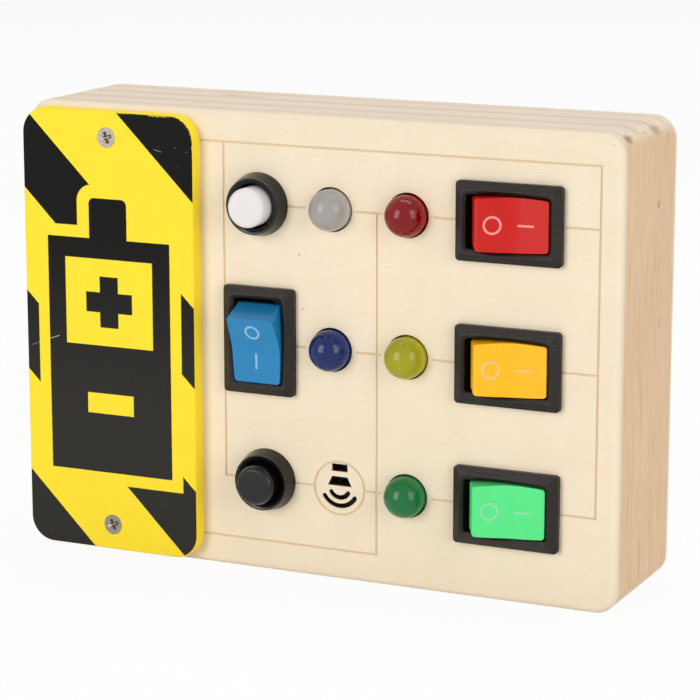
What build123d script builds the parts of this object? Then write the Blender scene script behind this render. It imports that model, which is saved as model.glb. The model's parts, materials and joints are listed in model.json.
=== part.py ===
"""A wooden busy board for small children.

Rocker switches, push buttons and coloured lamps sit in a plywood panel on a mitred pine
frame, with the batteries behind a screwed cover on the front.

Millimetres. X runs to the right, Y into the case, Z up. The origin is the middle of the
flat bottom face, so the board stands on Z = 0 and its face looks along -Y.
"""

from build123d import *
import os
from math import cos, radians, sin

os.makedirs("parts", exist_ok=True)

# ---------------------------------------------------------------- case
case_width = 124.0
case_height = 90.0
case_depth = 30.0
corner_radius = 4.5
rail_thickness = 8.0
panel_thickness = 3.0
back_thickness = 3.0
front_edge_round = 1.5
back_edge_round = 1.0
fit_gap = 0.1  # all round a piece that drops into a cut-out

# ---------------------------------------------------------------- layout of the face
row_pitch = 27.0
middle_row_z = 45.4
top_row_z = middle_row_z + row_pitch
bottom_row_z = middle_row_z - row_pitch
switch_column_x = 40.2
blue_switch_x = -11.1
blue_switch_z = middle_row_z + 0.6
white_button_x = -11.4
black_button_x = -10.0
left_lamp_x = 3.9
right_lamp_x = 19.6
sounder_x = 5.6

# ---------------------------------------------------------------- rocker switch
switch_body_length = 19.0
switch_body_width = 12.8
switch_body_depth = 14.5
switch_end_wall = 1.2
switch_side_wall = 1.05  # beside the pivot, where the opening is widest
opening_bow = 0.25  # each long side of the opening bows out this far
opening_corner_radius = 0.7
switch_floor = 5.0  # solid below the well
bezel_end_flange = 1.0  # beyond the body, at its ends
bezel_side_flange = 1.1
bezel_corner_radius = 0.8
bezel_ridge_corner_radius = 0.25
bezel_edge = 1.1  # height of the bezel at its outer edge
bezel_height = 2.0  # height at its ridge
bezel_ridge_inset = 1.45
lip_width = 0.6  # the inner band, sloping down to the opening
lip_drop = 0.4
barb_reach = 0.7
barb_width = 6.0
barb_length = 5.0
blade_width = 4.8
blade_thickness = 0.8
blade_reach = 7.0
blade_spacing = 5.5  # from the middle blade to the end one

rocker_end_room = 1.4  # left between half a face and the end of the opening
rocker_side_gap = 0.25  # at the widest, over the pivot
rocker_side_bow = 0.5  # each side bows out this far between the ends
rocker_face_slope = 11.6  # each half of the face rises this much from the crease
rocker_tilt = 14.5  # either way from level
rocker_end_height = 5.0
rocker_end_lean = 13.0  # from upright
rocker_crease_radius = 4.0
rocker_corner_radius = 0.6
pivot_depth = 2.5  # below the panel's face
crease_above_pivot = 4.85
rocker_skirt_drop = 1.2  # below the pivot
rocker_skirt_inset = 0.9
pivot_pin_radius = 1.2
pivot_gap = 0.05
pivot_pin_reach = 1.0  # into each wall

post_width = 4.4  # hangs below the rocker and guides the plunger
post_drop = 3.6
plunger_radius = 0.8
plunger_nose_break = 0.5
plunger_gap = 0.05
plunger_engagement = 1.6  # length of plunger inside the post
plunger_spring_room = 0.5
plunger_lift = 0.1  # nose above the level contact strip
strip_length = 12.4
strip_width = 3.4
strip_thickness = 0.4
strip_tilt = 8.0  # either way from level, opposite to the rocker
strip_bead_radius = 0.45
strip_rise = 0.25  # underside of the strip above the middle of its bead
saddle_width = 1.8
saddle_height = 0.75  # above the well's floor, to the middle of the bead
saddle_gap = 0.05
cheek_height = 1.75
cheek_thickness = 0.8
cheek_gap = 0.15

# ---------------------------------------------------------------- push button
bush_radius = 5.0
bush_length = 9.5  # behind the panel's face
bush_shoulder = 0.4  # the body behind the bush is this much smaller in radius
bush_wall = 0.65
collar_flange = 1.2  # beyond the bush
collar_slope = 0.7  # the collar narrows this much from base to rim
collar_rim_land = 0.3
collar_height = 3.0
collar_dish_depth = 0.9
button_travel = 2.0
white_cap_gap = 0.4
white_cap_height = 6.1
white_cap_round = 1.0
black_cap_gap = 0.45
black_cap_height = 6.2
black_cap_bevel_height = 1.3
black_cap_bevel_width = 1.0
cap_skirt_depth = 0.6  # below the panel's face at rest
stem_radius = 1.6
stem_gap = 0.05
stem_head_radius = 2.3
stem_head_length = 1.2
head_gap = 0.05  # between the head and the guide at rest
chamber_gap = 0.6  # round the head
chamber_spare = 0.45  # left behind the head when the cap is pressed
guide_front = 6.4
guide_back = 11.0
button_floor = 0.8
spring_wire_radius = 0.3
spring_turns = 3
spring_gap = 0.1  # under the cap at rest
nut_wall = 1.5  # across the flats, beyond the bush
nut_thickness = 2.2
nut_gap = 0.03
lug_width = 2.2
lug_thickness = 0.6
lug_reach = 5.0
lug_spacing = 4.6
wire_sides = 4  # facets round a spring's wire

# ---------------------------------------------------------------- lamp
lamp_radius = 4.0
lamp_hole_gap = 0.3
dome_stand = 0.9  # centre of the dome in front of the panel's face
lamp_flange = 0.7  # beyond the lens
lamp_flange_thickness = 1.6
lead_width = 0.5
lead_spacing = 2.54
lead_length = 9.0

# ---------------------------------------------------------------- sounder and its slots
sounder_radius = 7.0
sounder_height = 7.5
sounder_port_radius = 1.2
sounder_pin_radius = 0.4
sounder_pin_spacing = 7.6
sounder_pin_length = 4.0
magnet_slot_width = 3.35
magnet_slot_height = 1.5
magnet_slot_rise = 4.0
cone_slot_top_width = 3.3
cone_slot_bottom_width = 5.1
cone_slot_top = 2.25
cone_slot_bottom = 0.4
wave_slot_width = 0.95
wave_centre_rise = 0.2
wave_radii = (2.1, 3.75)
wave_half_angle = 58.0

# ---------------------------------------------------------------- battery bay
cover_width = 37.8
cover_height = 87.8
cover_thickness = 3.0
cover_corner_radius = 5.0
cover_edge_round = 0.5
cover_side_inset = 0.2
cover_base_z = 1.0
screw_spacing = 77.6
screw_head_radius = 2.0
screw_shank_radius = 1.1
screw_length = 12.0
screw_gap = 0.05
pilot_spare = 1.0  # the pilot holes run on past the screws' points
screw_slot_width = 0.5
screw_slot_length = 2.4
screw_slot_depth = 0.7

cell_radius = 5.25
cell_length = 44.5
cell_nub_radius = 1.9
cell_nub_length = 1.0
cell_edge_bevel = 0.5
cell_gap = 0.2
holder_wall = 1.1
holder_rib = 0.8
holder_rim = 1.5  # above the cells
holder_floor = 1.2
holder_setback = 1.0  # behind the panel's face
holder_side_gap = 0.4  # to the frame rail
holder_end_wall = 1.2
holder_ear = 3.5
holder_ear_thickness = 1.2
contact_thickness = 0.3
contact_gap = 0.1
contact_spring_length = 4.0
contact_spring_radius = 3.2
contact_spring_wire_radius = 0.35
contact_spring_turns = 2

# ---------------------------------------------------------------- worked out
frame_depth = case_depth - panel_thickness - back_thickness
bezel_length = switch_body_length + 2 * bezel_end_flange
bezel_width = switch_body_width + 2 * bezel_side_flange
switch_opening_length = switch_body_length - 2 * switch_end_wall
switch_opening_width = switch_body_width - 2 * switch_side_wall
switch_well_depth = switch_body_depth - switch_floor
saddle_depth = switch_well_depth - saddle_height
rocker_half_face = switch_opening_length / 2 - rocker_end_room
plunger_reach = saddle_depth - pivot_depth - strip_rise - strip_thickness - plunger_lift
strip_reach = (blade_spacing + blade_thickness / 2) * sin(radians(strip_tilt))
blade_rise = saddle_height + strip_rise - strip_reach / cos(radians(strip_tilt)) - saddle_gap
channel_width = strip_width + 2 * cheek_gap
collar_base_radius = bush_radius + collar_flange
collar_rim_radius = collar_base_radius - collar_slope
button_body_radius = bush_radius - bush_shoulder
button_well_radius = bush_radius - bush_wall
chamber_floor = guide_back + head_gap + stem_head_length + button_travel + chamber_spare
button_body_length = chamber_floor + button_floor
spring_radius = (button_well_radius + stem_radius) / 2
lamp_flange_radius = lamp_radius + lamp_flange
front_y = -case_depth / 2
centre_z = case_height / 2
cover_x = -case_width / 2 + cover_side_inset + cover_width / 2
cover_z = cover_base_z + cover_height / 2
channel_radius = cell_radius + cell_gap
cell_spacing = 2 * channel_radius + holder_rib
holder_width = cell_spacing + 2 * channel_radius + 2 * holder_wall
bay_length = cell_length + contact_spring_length + 2 * contact_thickness
holder_length = bay_length + 2 * holder_end_wall
holder_x = -case_width / 2 + rail_thickness + holder_side_gap + holder_width / 2
holder_depth = holder_rim + cell_radius + channel_radius + holder_floor
cell_depth = holder_setback + holder_depth - holder_floor - channel_radius


def face_plane(x, z, x_dir=(1, 0, 0)):
    """A plane on the panel's face, with its Z pointing out of the case."""
    return Plane(origin=(x, front_y, z), x_dir=x_dir, z_dir=(0, -1, 0))


def side_plane(face):
    """The plane through a control's middle: x along the control, y out of the case."""
    return Plane(origin=face.origin, x_dir=face.x_dir, z_dir=-face.y_dir)


panel_face = face_plane(0, centre_z)
switch_faces = {
    "red": face_plane(switch_column_x, top_row_z),
    "amber": face_plane(switch_column_x, middle_row_z),
    "green": face_plane(switch_column_x, bottom_row_z),
    "blue": face_plane(blue_switch_x, blue_switch_z, x_dir=(0, 0, -1)),
}
button_faces = {
    "white": face_plane(white_button_x, top_row_z),
    "black": face_plane(black_button_x, bottom_row_z),
}
lamp_faces = {
    "grey": face_plane(left_lamp_x, top_row_z),
    "red": face_plane(right_lamp_x, top_row_z),
    "blue": face_plane(left_lamp_x, middle_row_z),
    "olive": face_plane(right_lamp_x, middle_row_z),
    "green": face_plane(right_lamp_x, bottom_row_z),
}
sounder_face = face_plane(sounder_x, bottom_row_z)
cover_face = face_plane(cover_x, cover_z)
holder_face = face_plane(holder_x, cover_z)
across_cells = Plane(
    origin=(holder_x, front_y + cell_depth, cover_z), x_dir=(1, 0, 0), z_dir=(0, 0, 1)
)


def save(builder, name):
    """Label a finished piece and write it as its own STEP file."""
    builder.part.label = name
    export_step(builder.part, f"parts/{name}.step")


# ---------------------------------------------------------------- case pieces
def make_front_panel():
    """Plywood face: the outline, its softened edge, then every opening."""
    with BuildPart() as front_panel:
        with BuildSketch(panel_face):
            RectangleRounded(case_width, case_height, corner_radius)
        extrude(amount=-panel_thickness)
        fillet(front_panel.faces().sort_by(Axis.Y)[0].edges(), radius=front_edge_round)
        for face in switch_faces.values():
            with BuildSketch(face):
                Rectangle(switch_body_length + 2 * fit_gap, switch_body_width + 2 * fit_gap)
            extrude(amount=-panel_thickness, mode=Mode.SUBTRACT)
        for face in button_faces.values():
            with BuildSketch(face):
                Circle(bush_radius + fit_gap)
            extrude(amount=-panel_thickness, mode=Mode.SUBTRACT)
        for face in lamp_faces.values():
            with BuildSketch(face):
                Circle(lamp_radius + lamp_hole_gap)
            extrude(amount=-panel_thickness, mode=Mode.SUBTRACT)
        with BuildSketch(holder_face):
            Rectangle(holder_width + 2 * fit_gap, holder_length + 2 * fit_gap)
        extrude(amount=-panel_thickness, mode=Mode.SUBTRACT)
        with BuildSketch(cover_face):
            with GridLocations(0, screw_spacing, 1, 2):
                Circle(screw_shank_radius + screw_gap)
        extrude(amount=-panel_thickness, mode=Mode.SUBTRACT)
        with BuildSketch(sounder_face):
            with Locations((0, magnet_slot_rise)):
                Rectangle(magnet_slot_width, magnet_slot_height)
            Polygon(
                (-cone_slot_bottom_width / 2, cone_slot_bottom),
                (cone_slot_bottom_width / 2, cone_slot_bottom),
                (cone_slot_top_width / 2, cone_slot_top),
                (-cone_slot_top_width / 2, cone_slot_top),
                align=None,
            )
            for radius in wave_radii:
                with BuildLine(mode=Mode.PRIVATE):
                    wave = CenterArc(
                        (0, wave_centre_rise), radius, 270 - wave_half_angle, 2 * wave_half_angle
                    )
                SlotArc(wave, height=wave_slot_width)
        extrude(amount=-panel_thickness, mode=Mode.SUBTRACT)
    save(front_panel, "front_panel")


def make_rail(name, corners, screw_z=None):
    """One mitred rail: the frame's ring, cut to the trapezium between its mitres."""
    with BuildPart() as rail:
        with BuildSketch(panel_face.offset(-panel_thickness)):
            RectangleRounded(case_width, case_height, corner_radius)
            Rectangle(
                case_width - 2 * rail_thickness,
                case_height - 2 * rail_thickness,
                mode=Mode.SUBTRACT,
            )
            Polygon(*corners, align=None, mode=Mode.INTERSECT)
        extrude(amount=-frame_depth)
        if screw_z is not None:
            with BuildSketch(face_plane(cover_x, screw_z).offset(-panel_thickness)):
                Circle(screw_shank_radius + screw_gap)
            extrude(
                amount=panel_thickness + cover_thickness - screw_length - pilot_spare,
                mode=Mode.SUBTRACT,
            )
    save(rail, name)


def make_rails():
    outer_x, outer_z = case_width / 2, case_height / 2
    inner_x, inner_z = outer_x - rail_thickness, outer_z - rail_thickness
    for side, sign in (("bottom", -1), ("top", 1)):
        make_rail(
            f"{side}_rail",
            [
                (-outer_x, sign * outer_z),
                (outer_x, sign * outer_z),
                (inner_x, sign * inner_z),
                (-inner_x, sign * inner_z),
            ],
            screw_z=cover_z + sign * screw_spacing / 2,
        )
    for side, sign in (("left", -1), ("right", 1)):
        make_rail(
            f"{side}_rail",
            [
                (sign * outer_x, -outer_z),
                (sign * outer_x, outer_z),
                (sign * inner_x, inner_z),
                (sign * inner_x, -inner_z),
            ],
        )


def make_back_panel():
    with BuildPart() as back_panel:
        with BuildSketch(panel_face.offset(-panel_thickness - frame_depth)):
            RectangleRounded(case_width, case_height, corner_radius)
        extrude(amount=-back_thickness)
        fillet(back_panel.faces().sort_by(Axis.Y)[-1].edges(), radius=back_edge_round)
    save(back_panel, "back_panel")


def make_battery_cover():
    with BuildPart() as battery_cover:
        with BuildSketch(cover_face):
            RectangleRounded(cover_width, cover_height, cover_corner_radius)
        extrude(amount=cover_thickness)
        fillet(battery_cover.faces().sort_by(Axis.Y)[0].edges(), radius=cover_edge_round)
        with Locations(cover_face.offset(cover_thickness)):
            with GridLocations(0, screw_spacing, 1, 2):
                CounterSinkHole(
                    radius=screw_shank_radius + screw_gap,
                    counter_sink_radius=screw_head_radius + screw_gap,
                    depth=cover_thickness,
                    counter_sink_angle=90,
                )
    save(battery_cover, "battery_cover")


def make_battery_cover_screws():
    head_depth = screw_head_radius - screw_shank_radius
    head_face = cover_face.offset(cover_thickness)
    with BuildPart() as battery_cover_screws:
        for end in (-1, 1):
            at = face_plane(cover_x, cover_z + end * screw_spacing / 2).offset(cover_thickness)
            with BuildSketch(side_plane(at)):
                Polygon(
                    (0, 0),
                    (screw_head_radius, 0),
                    (screw_shank_radius, -head_depth),
                    (screw_shank_radius, -screw_length + screw_shank_radius),
                    (0, -screw_length),
                    align=None,
                )
            revolve(axis=Axis(at.origin, at.z_dir))
        with BuildSketch(head_face):
            with GridLocations(0, screw_spacing, 1, 2):
                Rectangle(screw_slot_length, screw_slot_width)
                Rectangle(screw_slot_width, screw_slot_length)
        extrude(amount=-screw_slot_depth, mode=Mode.SUBTRACT)
    save(battery_cover_screws, "battery_cover_screws")


# ---------------------------------------------------------------- rocker switches
def barrel(length, middle_width, bow):
    """A filled outline with straight ends and bowed long sides."""
    end_x = length / 2
    end_y = middle_width / 2 - bow
    with BuildSketch() as outline:
        with BuildLine():
            ThreePointArc((-end_x, end_y), (0, middle_width / 2), (end_x, end_y))
            Line((end_x, end_y), (end_x, -end_y))
            ThreePointArc((end_x, -end_y), (0, -middle_width / 2), (-end_x, -end_y))
            Line((-end_x, -end_y), (-end_x, end_y))
        make_face()
    return outline.sketch


def make_switch_housing(colour, face):
    """Bezel and body in one moulding, open at the front for the rocker."""
    with BuildPart() as housing:
        with BuildSketch(face):
            RectangleRounded(bezel_length, bezel_width, bezel_corner_radius)
        extrude(amount=bezel_edge)
        with BuildSketch(face.offset(bezel_edge)):
            RectangleRounded(bezel_length, bezel_width, bezel_corner_radius)
        with BuildSketch(face.offset(bezel_height)):
            RectangleRounded(
                bezel_length - 2 * bezel_ridge_inset,
                bezel_width - 2 * bezel_ridge_inset,
                bezel_ridge_corner_radius,
            )
        loft(ruled=True)
        with BuildSketch(face):
            Rectangle(switch_body_length, switch_body_width)
        extrude(amount=-switch_body_depth)
        with BuildSketch(side_plane(face)):
            barb_top = -panel_thickness - fit_gap
            for end in (-1, 1):
                wall = end * switch_body_length / 2
                Polygon(
                    (wall, barb_top),
                    (wall + end * barb_reach, barb_top - barb_reach / 2),
                    (wall, barb_top - barb_length),
                    align=None,
                )
        extrude(amount=barb_width / 2, both=True)
        with BuildSketch(face.offset(bezel_height)) as opening:
            add(barrel(switch_opening_length, switch_opening_width, opening_bow))
            fillet(opening.vertices(), radius=opening_corner_radius)
        extrude(amount=-bezel_height - switch_well_depth, mode=Mode.SUBTRACT)
        ridge_land = housing.faces().sort_by(Axis.Y)[0]
        chamfer(
            ridge_land.inner_wires()[0].edges(),
            length=lip_width,
            length2=lip_drop,
            reference=ridge_land,
        )
        with BuildSketch(side_plane(face)):
            with Locations((0, -pivot_depth)):
                Circle(pivot_pin_radius + pivot_gap)
        extrude(amount=switch_body_width / 2, both=True, mode=Mode.SUBTRACT)
        with BuildSketch(face.offset(-switch_well_depth)):
            with Locations((0, 0), (-blade_spacing, 0)):
                Rectangle(blade_thickness, blade_width)
        extrude(amount=-switch_floor, mode=Mode.SUBTRACT)
        with BuildSketch(face.offset(-switch_well_depth)):
            with GridLocations(0, channel_width + cheek_thickness, 1, 2):
                Rectangle(saddle_width, cheek_thickness)
        extrude(amount=cheek_height)
    save(housing, f"{colour}_switch_housing")


def make_switch_terminals(colour, face):
    """Two blades through the floor: one carries the strip's saddle, one meets its end."""
    with BuildPart() as terminals:
        with BuildSketch(face.offset(-switch_well_depth)):
            Rectangle(saddle_width, strip_width)
        extrude(amount=saddle_height)
        with BuildSketch(side_plane(face.offset(-saddle_depth))):
            Circle(strip_bead_radius + saddle_gap)
        extrude(amount=strip_width / 2, both=True, mode=Mode.SUBTRACT)
        with BuildSketch(face.offset(-switch_well_depth)):
            Rectangle(blade_thickness, blade_width)
        extrude(amount=-switch_floor - blade_reach)
        with BuildSketch(face.offset(blade_rise - switch_well_depth)):
            with Locations((-blade_spacing, 0)):
                Rectangle(blade_thickness, blade_width)
        extrude(amount=-blade_rise - switch_floor - blade_reach)
    save(terminals, f"{colour}_switch_terminals")


def make_switch_contact(colour, face):
    """Strip that rocks on its bead and joins the saddle to the end blade, or lifts off it."""
    saddle = side_plane(face.offset(-saddle_depth))
    rocked = Plane(saddle * Rotation(0, 0, strip_tilt))
    with BuildPart() as contact:
        with BuildSketch(rocked):
            with Locations((0, strip_rise + strip_thickness / 2)):
                Rectangle(strip_length, strip_thickness)
            Circle(strip_bead_radius)
        extrude(amount=strip_width / 2, both=True)
    save(contact, f"{colour}_switch_contact")


def rocker_plane(face):
    """The plane of a rocker's outline, round its pivot and tilted to rest."""
    return Plane(side_plane(face.offset(-pivot_depth)) * Rotation(0, 0, -rocker_tilt))


def across_rocker(tilted, height):
    """A plane across the rocker at a height over its pivot, seen from the front."""
    at_height = tilted.from_local_coords((0, height, 0))
    return Plane(origin=at_height, x_dir=tilted.x_dir, z_dir=tilted.y_dir)


def make_rocker(colour, face):
    """The lever: its outline, its bowed sides, the pivot pins and the plunger's post."""
    tilted = rocker_plane(face)
    slope = radians(rocker_face_slope)
    lean = radians(rocker_end_lean)
    tip_x = rocker_half_face * cos(slope)
    tip_y = crease_above_pivot + rocker_half_face * sin(slope)
    heel_x = tip_x + rocker_end_height * sin(lean)
    heel_y = tip_y - rocker_end_height * cos(lean)
    skirt_x = heel_x - rocker_skirt_inset
    middle_width = switch_opening_width - 2 * rocker_side_gap
    with BuildPart() as rocker:
        with BuildSketch(tilted) as outline:
            with BuildLine():
                Polyline(
                    (0, crease_above_pivot),
                    (tip_x, tip_y),
                    (heel_x, heel_y),
                    (skirt_x, -rocker_skirt_drop),
                    (-skirt_x, -rocker_skirt_drop),
                    (-heel_x, heel_y),
                    (-tip_x, tip_y),
                    close=True,
                )
            make_face()
            fillet(
                outline.vertices().sort_by_distance((0, crease_above_pivot))[0],
                radius=rocker_crease_radius,
            )
        extrude(amount=middle_width / 2, both=True)
        with BuildSketch(across_rocker(tilted, 0)):
            add(barrel(switch_opening_length, middle_width, rocker_side_bow))
        extrude(amount=tip_y, both=True, mode=Mode.INTERSECT)
        corners = rocker.edges().filter_by(
            lambda edge: abs(tilted.to_local_coords(edge.center()).X) > tip_x
            and tilted.to_local_coords(edge.center()).Y > heel_y
        )
        fillet(corners, radius=rocker_corner_radius)
        with BuildSketch(tilted):
            Circle(pivot_pin_radius)
        extrude(amount=switch_opening_width / 2 + pivot_pin_reach, both=True)
        with BuildSketch(across_rocker(tilted, -post_drop)):
            Rectangle(post_width, post_width)
        extrude(amount=post_drop - rocker_skirt_drop)
        with BuildSketch(across_rocker(tilted, -post_drop)):
            Circle(plunger_radius + plunger_gap)
        extrude(amount=plunger_engagement + plunger_spring_room, mode=Mode.SUBTRACT)
    save(rocker, f"{colour}_rocker")


def make_switch_plunger(colour, face):
    """Blunt-nosed pin in the rocker's post, which tips the contact strip over."""
    tilted = rocker_plane(face)
    with BuildPart() as plunger:
        with BuildSketch(across_rocker(tilted, -plunger_reach)):
            Circle(plunger_radius)
        extrude(amount=plunger_reach - post_drop + plunger_engagement)
        nose = plunger.edges().filter_by(GeomType.CIRCLE).sort_by_distance(
            tilted.from_local_coords((0, -plunger_reach, 0))
        )[0]
        chamfer(nose, length=plunger_nose_break)
    save(plunger, f"{colour}_switch_plunger")


# ---------------------------------------------------------------- push buttons
def make_button_housing(colour, face):
    """Collar, bush and body in one turned moulding, with the guide for the stem."""
    with BuildPart() as housing:
        with BuildSketch(side_plane(face)):
            Polygon(
                (button_well_radius, collar_height - collar_dish_depth),
                (collar_rim_radius - collar_rim_land, collar_height),
                (collar_rim_radius, collar_height),
                (collar_base_radius, 0),
                (bush_radius, 0),
                (bush_radius, -bush_length),
                (button_body_radius, -bush_length),
                (button_body_radius, -button_body_length),
                (0, -button_body_length),
                (0, -chamber_floor),
                (stem_head_radius + chamber_gap, -chamber_floor),
                (stem_head_radius + chamber_gap, -guide_back),
                (stem_radius + stem_gap, -guide_back),
                (stem_radius + stem_gap, -guide_front),
                (button_well_radius, -guide_front),
                align=None,
            )
        revolve(axis=Axis(face.origin, face.z_dir))
    save(housing, f"{colour}_button_housing")


def make_button_cap(colour, face, radius, height):
    """Cap and stem in one turned piece, with a head that holds it in the guide."""
    head_front = guide_back + head_gap
    with BuildPart() as cap:
        with BuildSketch(side_plane(face)):
            Polygon(
                (0, height),
                (radius, height),
                (radius, -cap_skirt_depth),
                (stem_radius, -cap_skirt_depth),
                (stem_radius, -head_front),
                (stem_head_radius, -head_front),
                (stem_radius, -head_front - stem_head_length),
                (0, -head_front - stem_head_length),
                align=None,
            )
        revolve(axis=Axis(face.origin, face.z_dir))
        top = cap.faces().sort_by(Axis.Y)[0]
        if colour == "white":
            fillet(top.edges(), radius=white_cap_round)
        else:
            chamfer(
                top.edges(),
                length=black_cap_bevel_width,
                length2=black_cap_bevel_height,
                reference=top,
            )
    save(cap, f"{colour}_button_cap")


def make_button_spring(colour, face):
    floor = face.offset(-guide_front + spring_wire_radius)
    height = guide_front - cap_skirt_depth - 2 * spring_wire_radius - spring_gap
    with BuildPart() as spring:
        with BuildLine() as coil:
            Helix(
                pitch=height / spring_turns,
                height=height,
                radius=spring_radius,
                center=floor.origin,
                direction=floor.z_dir,
            )
        with BuildSketch(Plane(origin=coil.line @ 0, z_dir=coil.line % 0)):
            RegularPolygon(spring_wire_radius, side_count=wire_sides)
        sweep()
    save(spring, f"{colour}_button_spring")


def make_button_nut(colour, face):
    with BuildPart() as nut:
        with BuildSketch(face.offset(-panel_thickness)):
            RegularPolygon(
                bush_radius + nut_wall, side_count=6, major_radius=False, rotation=30
            )
            Circle(bush_radius + nut_gap, mode=Mode.SUBTRACT)
        extrude(amount=-nut_thickness)
    save(nut, f"{colour}_button_nut")


def make_button_lugs(colour, face):
    with BuildPart() as lugs:
        with BuildSketch(face.offset(-button_body_length)):
            with GridLocations(lug_spacing, 0, 2, 1):
                Rectangle(lug_thickness, lug_width)
        extrude(amount=-lug_reach)
    save(lugs, f"{colour}_button_lugs")


# ---------------------------------------------------------------- lamps
def make_lamp(colour, face):
    """Lens with a domed front and a flange that seats behind the panel."""
    back = -panel_thickness - lamp_flange_thickness
    with BuildPart() as lamp:
        with BuildSketch(side_plane(face)):
            with BuildLine():
                Polyline(
                    (0, dome_stand + lamp_radius),
                    (0, back),
                    (lamp_flange_radius, back),
                    (lamp_flange_radius, -panel_thickness),
                    (lamp_radius, -panel_thickness),
                    (lamp_radius, dome_stand),
                )
                CenterArc((0, dome_stand), lamp_radius, 0, 90)
            make_face()
        revolve(axis=Axis(face.origin, face.z_dir))
    save(lamp, f"{colour}_lamp")


def make_lamp_leads():
    with BuildPart() as lamp_leads:
        for face in lamp_faces.values():
            with BuildSketch(face.offset(-panel_thickness - lamp_flange_thickness)):
                with GridLocations(lead_spacing, 0, 2, 1):
                    Rectangle(lead_width, lead_width)
            extrude(amount=-lead_length)
    save(lamp_leads, "lamp_leads")


# ---------------------------------------------------------------- sounder
def make_buzzer():
    with BuildPart() as buzzer:
        with BuildSketch(sounder_face.offset(-panel_thickness)):
            Circle(sounder_radius)
        extrude(amount=-sounder_height)
        with BuildSketch(sounder_face.offset(-panel_thickness)):
            Circle(sounder_port_radius)
        extrude(amount=-sounder_height / 2, mode=Mode.SUBTRACT)
    save(buzzer, "buzzer")


def make_buzzer_pins():
    with BuildPart() as buzzer_pins:
        with BuildSketch(sounder_face.offset(-panel_thickness - sounder_height)):
            with GridLocations(sounder_pin_spacing, 0, 2, 1):
                Circle(sounder_pin_radius)
        extrude(amount=-sounder_pin_length)
    save(buzzer_pins, "buzzer_pins")


# ---------------------------------------------------------------- battery bay
def make_battery_holder():
    """Tray with one round-bottomed channel for each cell and an ear at each end."""
    rim = holder_face.offset(-holder_setback)
    with BuildPart() as battery_holder:
        with BuildSketch(rim):
            Rectangle(holder_width, holder_length)
        extrude(amount=-holder_depth)
        with BuildSketch(holder_face.offset(-panel_thickness)):
            Rectangle(holder_width, holder_length + 2 * holder_ear)
        extrude(amount=-holder_ear_thickness)
        with BuildSketch(across_cells):
            with GridLocations(cell_spacing, 0, 2, 1):
                Circle(channel_radius)
                with Locations((0, -holder_depth / 2)):
                    Rectangle(2 * channel_radius, holder_depth)
        extrude(amount=bay_length / 2, both=True, mode=Mode.SUBTRACT)
    save(battery_holder, "battery_holder")


def cell_plane(side):
    """Middle of one cell, with its Z pointing at that cell's plus end."""
    return Plane(
        origin=(holder_x + side * cell_spacing / 2, front_y + cell_depth, cover_z),
        x_dir=(1, 0, 0),
        z_dir=(0, 0, side),
    )


def make_battery_cell(name, side):
    """One AAA cell, pushed against its plus contact by the spring at its other end."""
    middle = cell_plane(side)
    plus_end = bay_length / 2 - contact_thickness
    with BuildPart() as cell:
        with BuildSketch(middle.offset(plus_end - cell_length)):
            Circle(cell_radius)
        extrude(amount=cell_length - cell_nub_length)
        chamfer(cell.edges().filter_by(GeomType.CIRCLE), length=cell_edge_bevel)
        with BuildSketch(middle.offset(plus_end - cell_nub_length)):
            Circle(cell_nub_radius)
        extrude(amount=cell_nub_length)
    save(cell, name)


def make_battery_contacts():
    """A round-footed plate at each end of each cell."""
    plate_radius = channel_radius - contact_gap
    with BuildPart() as battery_contacts:
        for end in (-1, 1):
            with BuildSketch(across_cells.offset(end * bay_length / 2)):
                with GridLocations(cell_spacing, 0, 2, 1):
                    Circle(plate_radius)
                    with Locations((0, -plate_radius / 2)):
                        Rectangle(2 * plate_radius, plate_radius)
            extrude(amount=-end * contact_thickness)
    save(battery_contacts, "battery_contacts")


def make_battery_springs():
    with BuildPart() as battery_springs:
        for side in (-1, 1):
            foot = cell_plane(side).offset(
                -bay_length / 2 + contact_thickness + contact_spring_wire_radius
            )
            height = contact_spring_length - 2 * contact_spring_wire_radius
            with BuildLine() as coil:
                Helix(
                    pitch=height / contact_spring_turns,
                    height=height,
                    radius=contact_spring_radius,
                    center=foot.origin,
                    direction=foot.z_dir,
                )
            with BuildSketch(Plane(origin=coil.line @ 0, z_dir=coil.line % 0)):
                RegularPolygon(contact_spring_wire_radius, side_count=wire_sides)
            sweep(path=coil.line)
    save(battery_springs, "battery_springs")


# ---------------------------------------------------------------- build
make_front_panel()
make_rails()
make_back_panel()
make_battery_cover()
make_battery_cover_screws()

for colour, face in switch_faces.items():
    make_switch_housing(colour, face)
    make_switch_terminals(colour, face)
    make_switch_contact(colour, face)
    make_switch_plunger(colour, face)
    make_rocker(colour, face)

make_button_cap(
    "white", button_faces["white"], button_well_radius - white_cap_gap, white_cap_height
)
make_button_cap(
    "black", button_faces["black"], button_well_radius - black_cap_gap, black_cap_height
)
for colour, face in button_faces.items():
    make_button_housing(colour, face)
    make_button_spring(colour, face)
    make_button_nut(colour, face)
    make_button_lugs(colour, face)

for colour, face in lamp_faces.items():
    make_lamp(colour, face)
make_lamp_leads()
make_buzzer()
make_buzzer_pins()

make_battery_holder()
make_battery_cell("battery_cell_left", -1)
make_battery_cell("battery_cell_right", 1)
make_battery_contacts()
make_battery_springs()
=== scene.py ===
"""Wooden busy board: the finish of every piece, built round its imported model.

A plywood face on a mitred pine frame carries four rocker switches, two push buttons, five
lamps and a sounder, with a printed battery cover on the left. X runs to the right, Y into
the case and Z up, in metres.
"""

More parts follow.
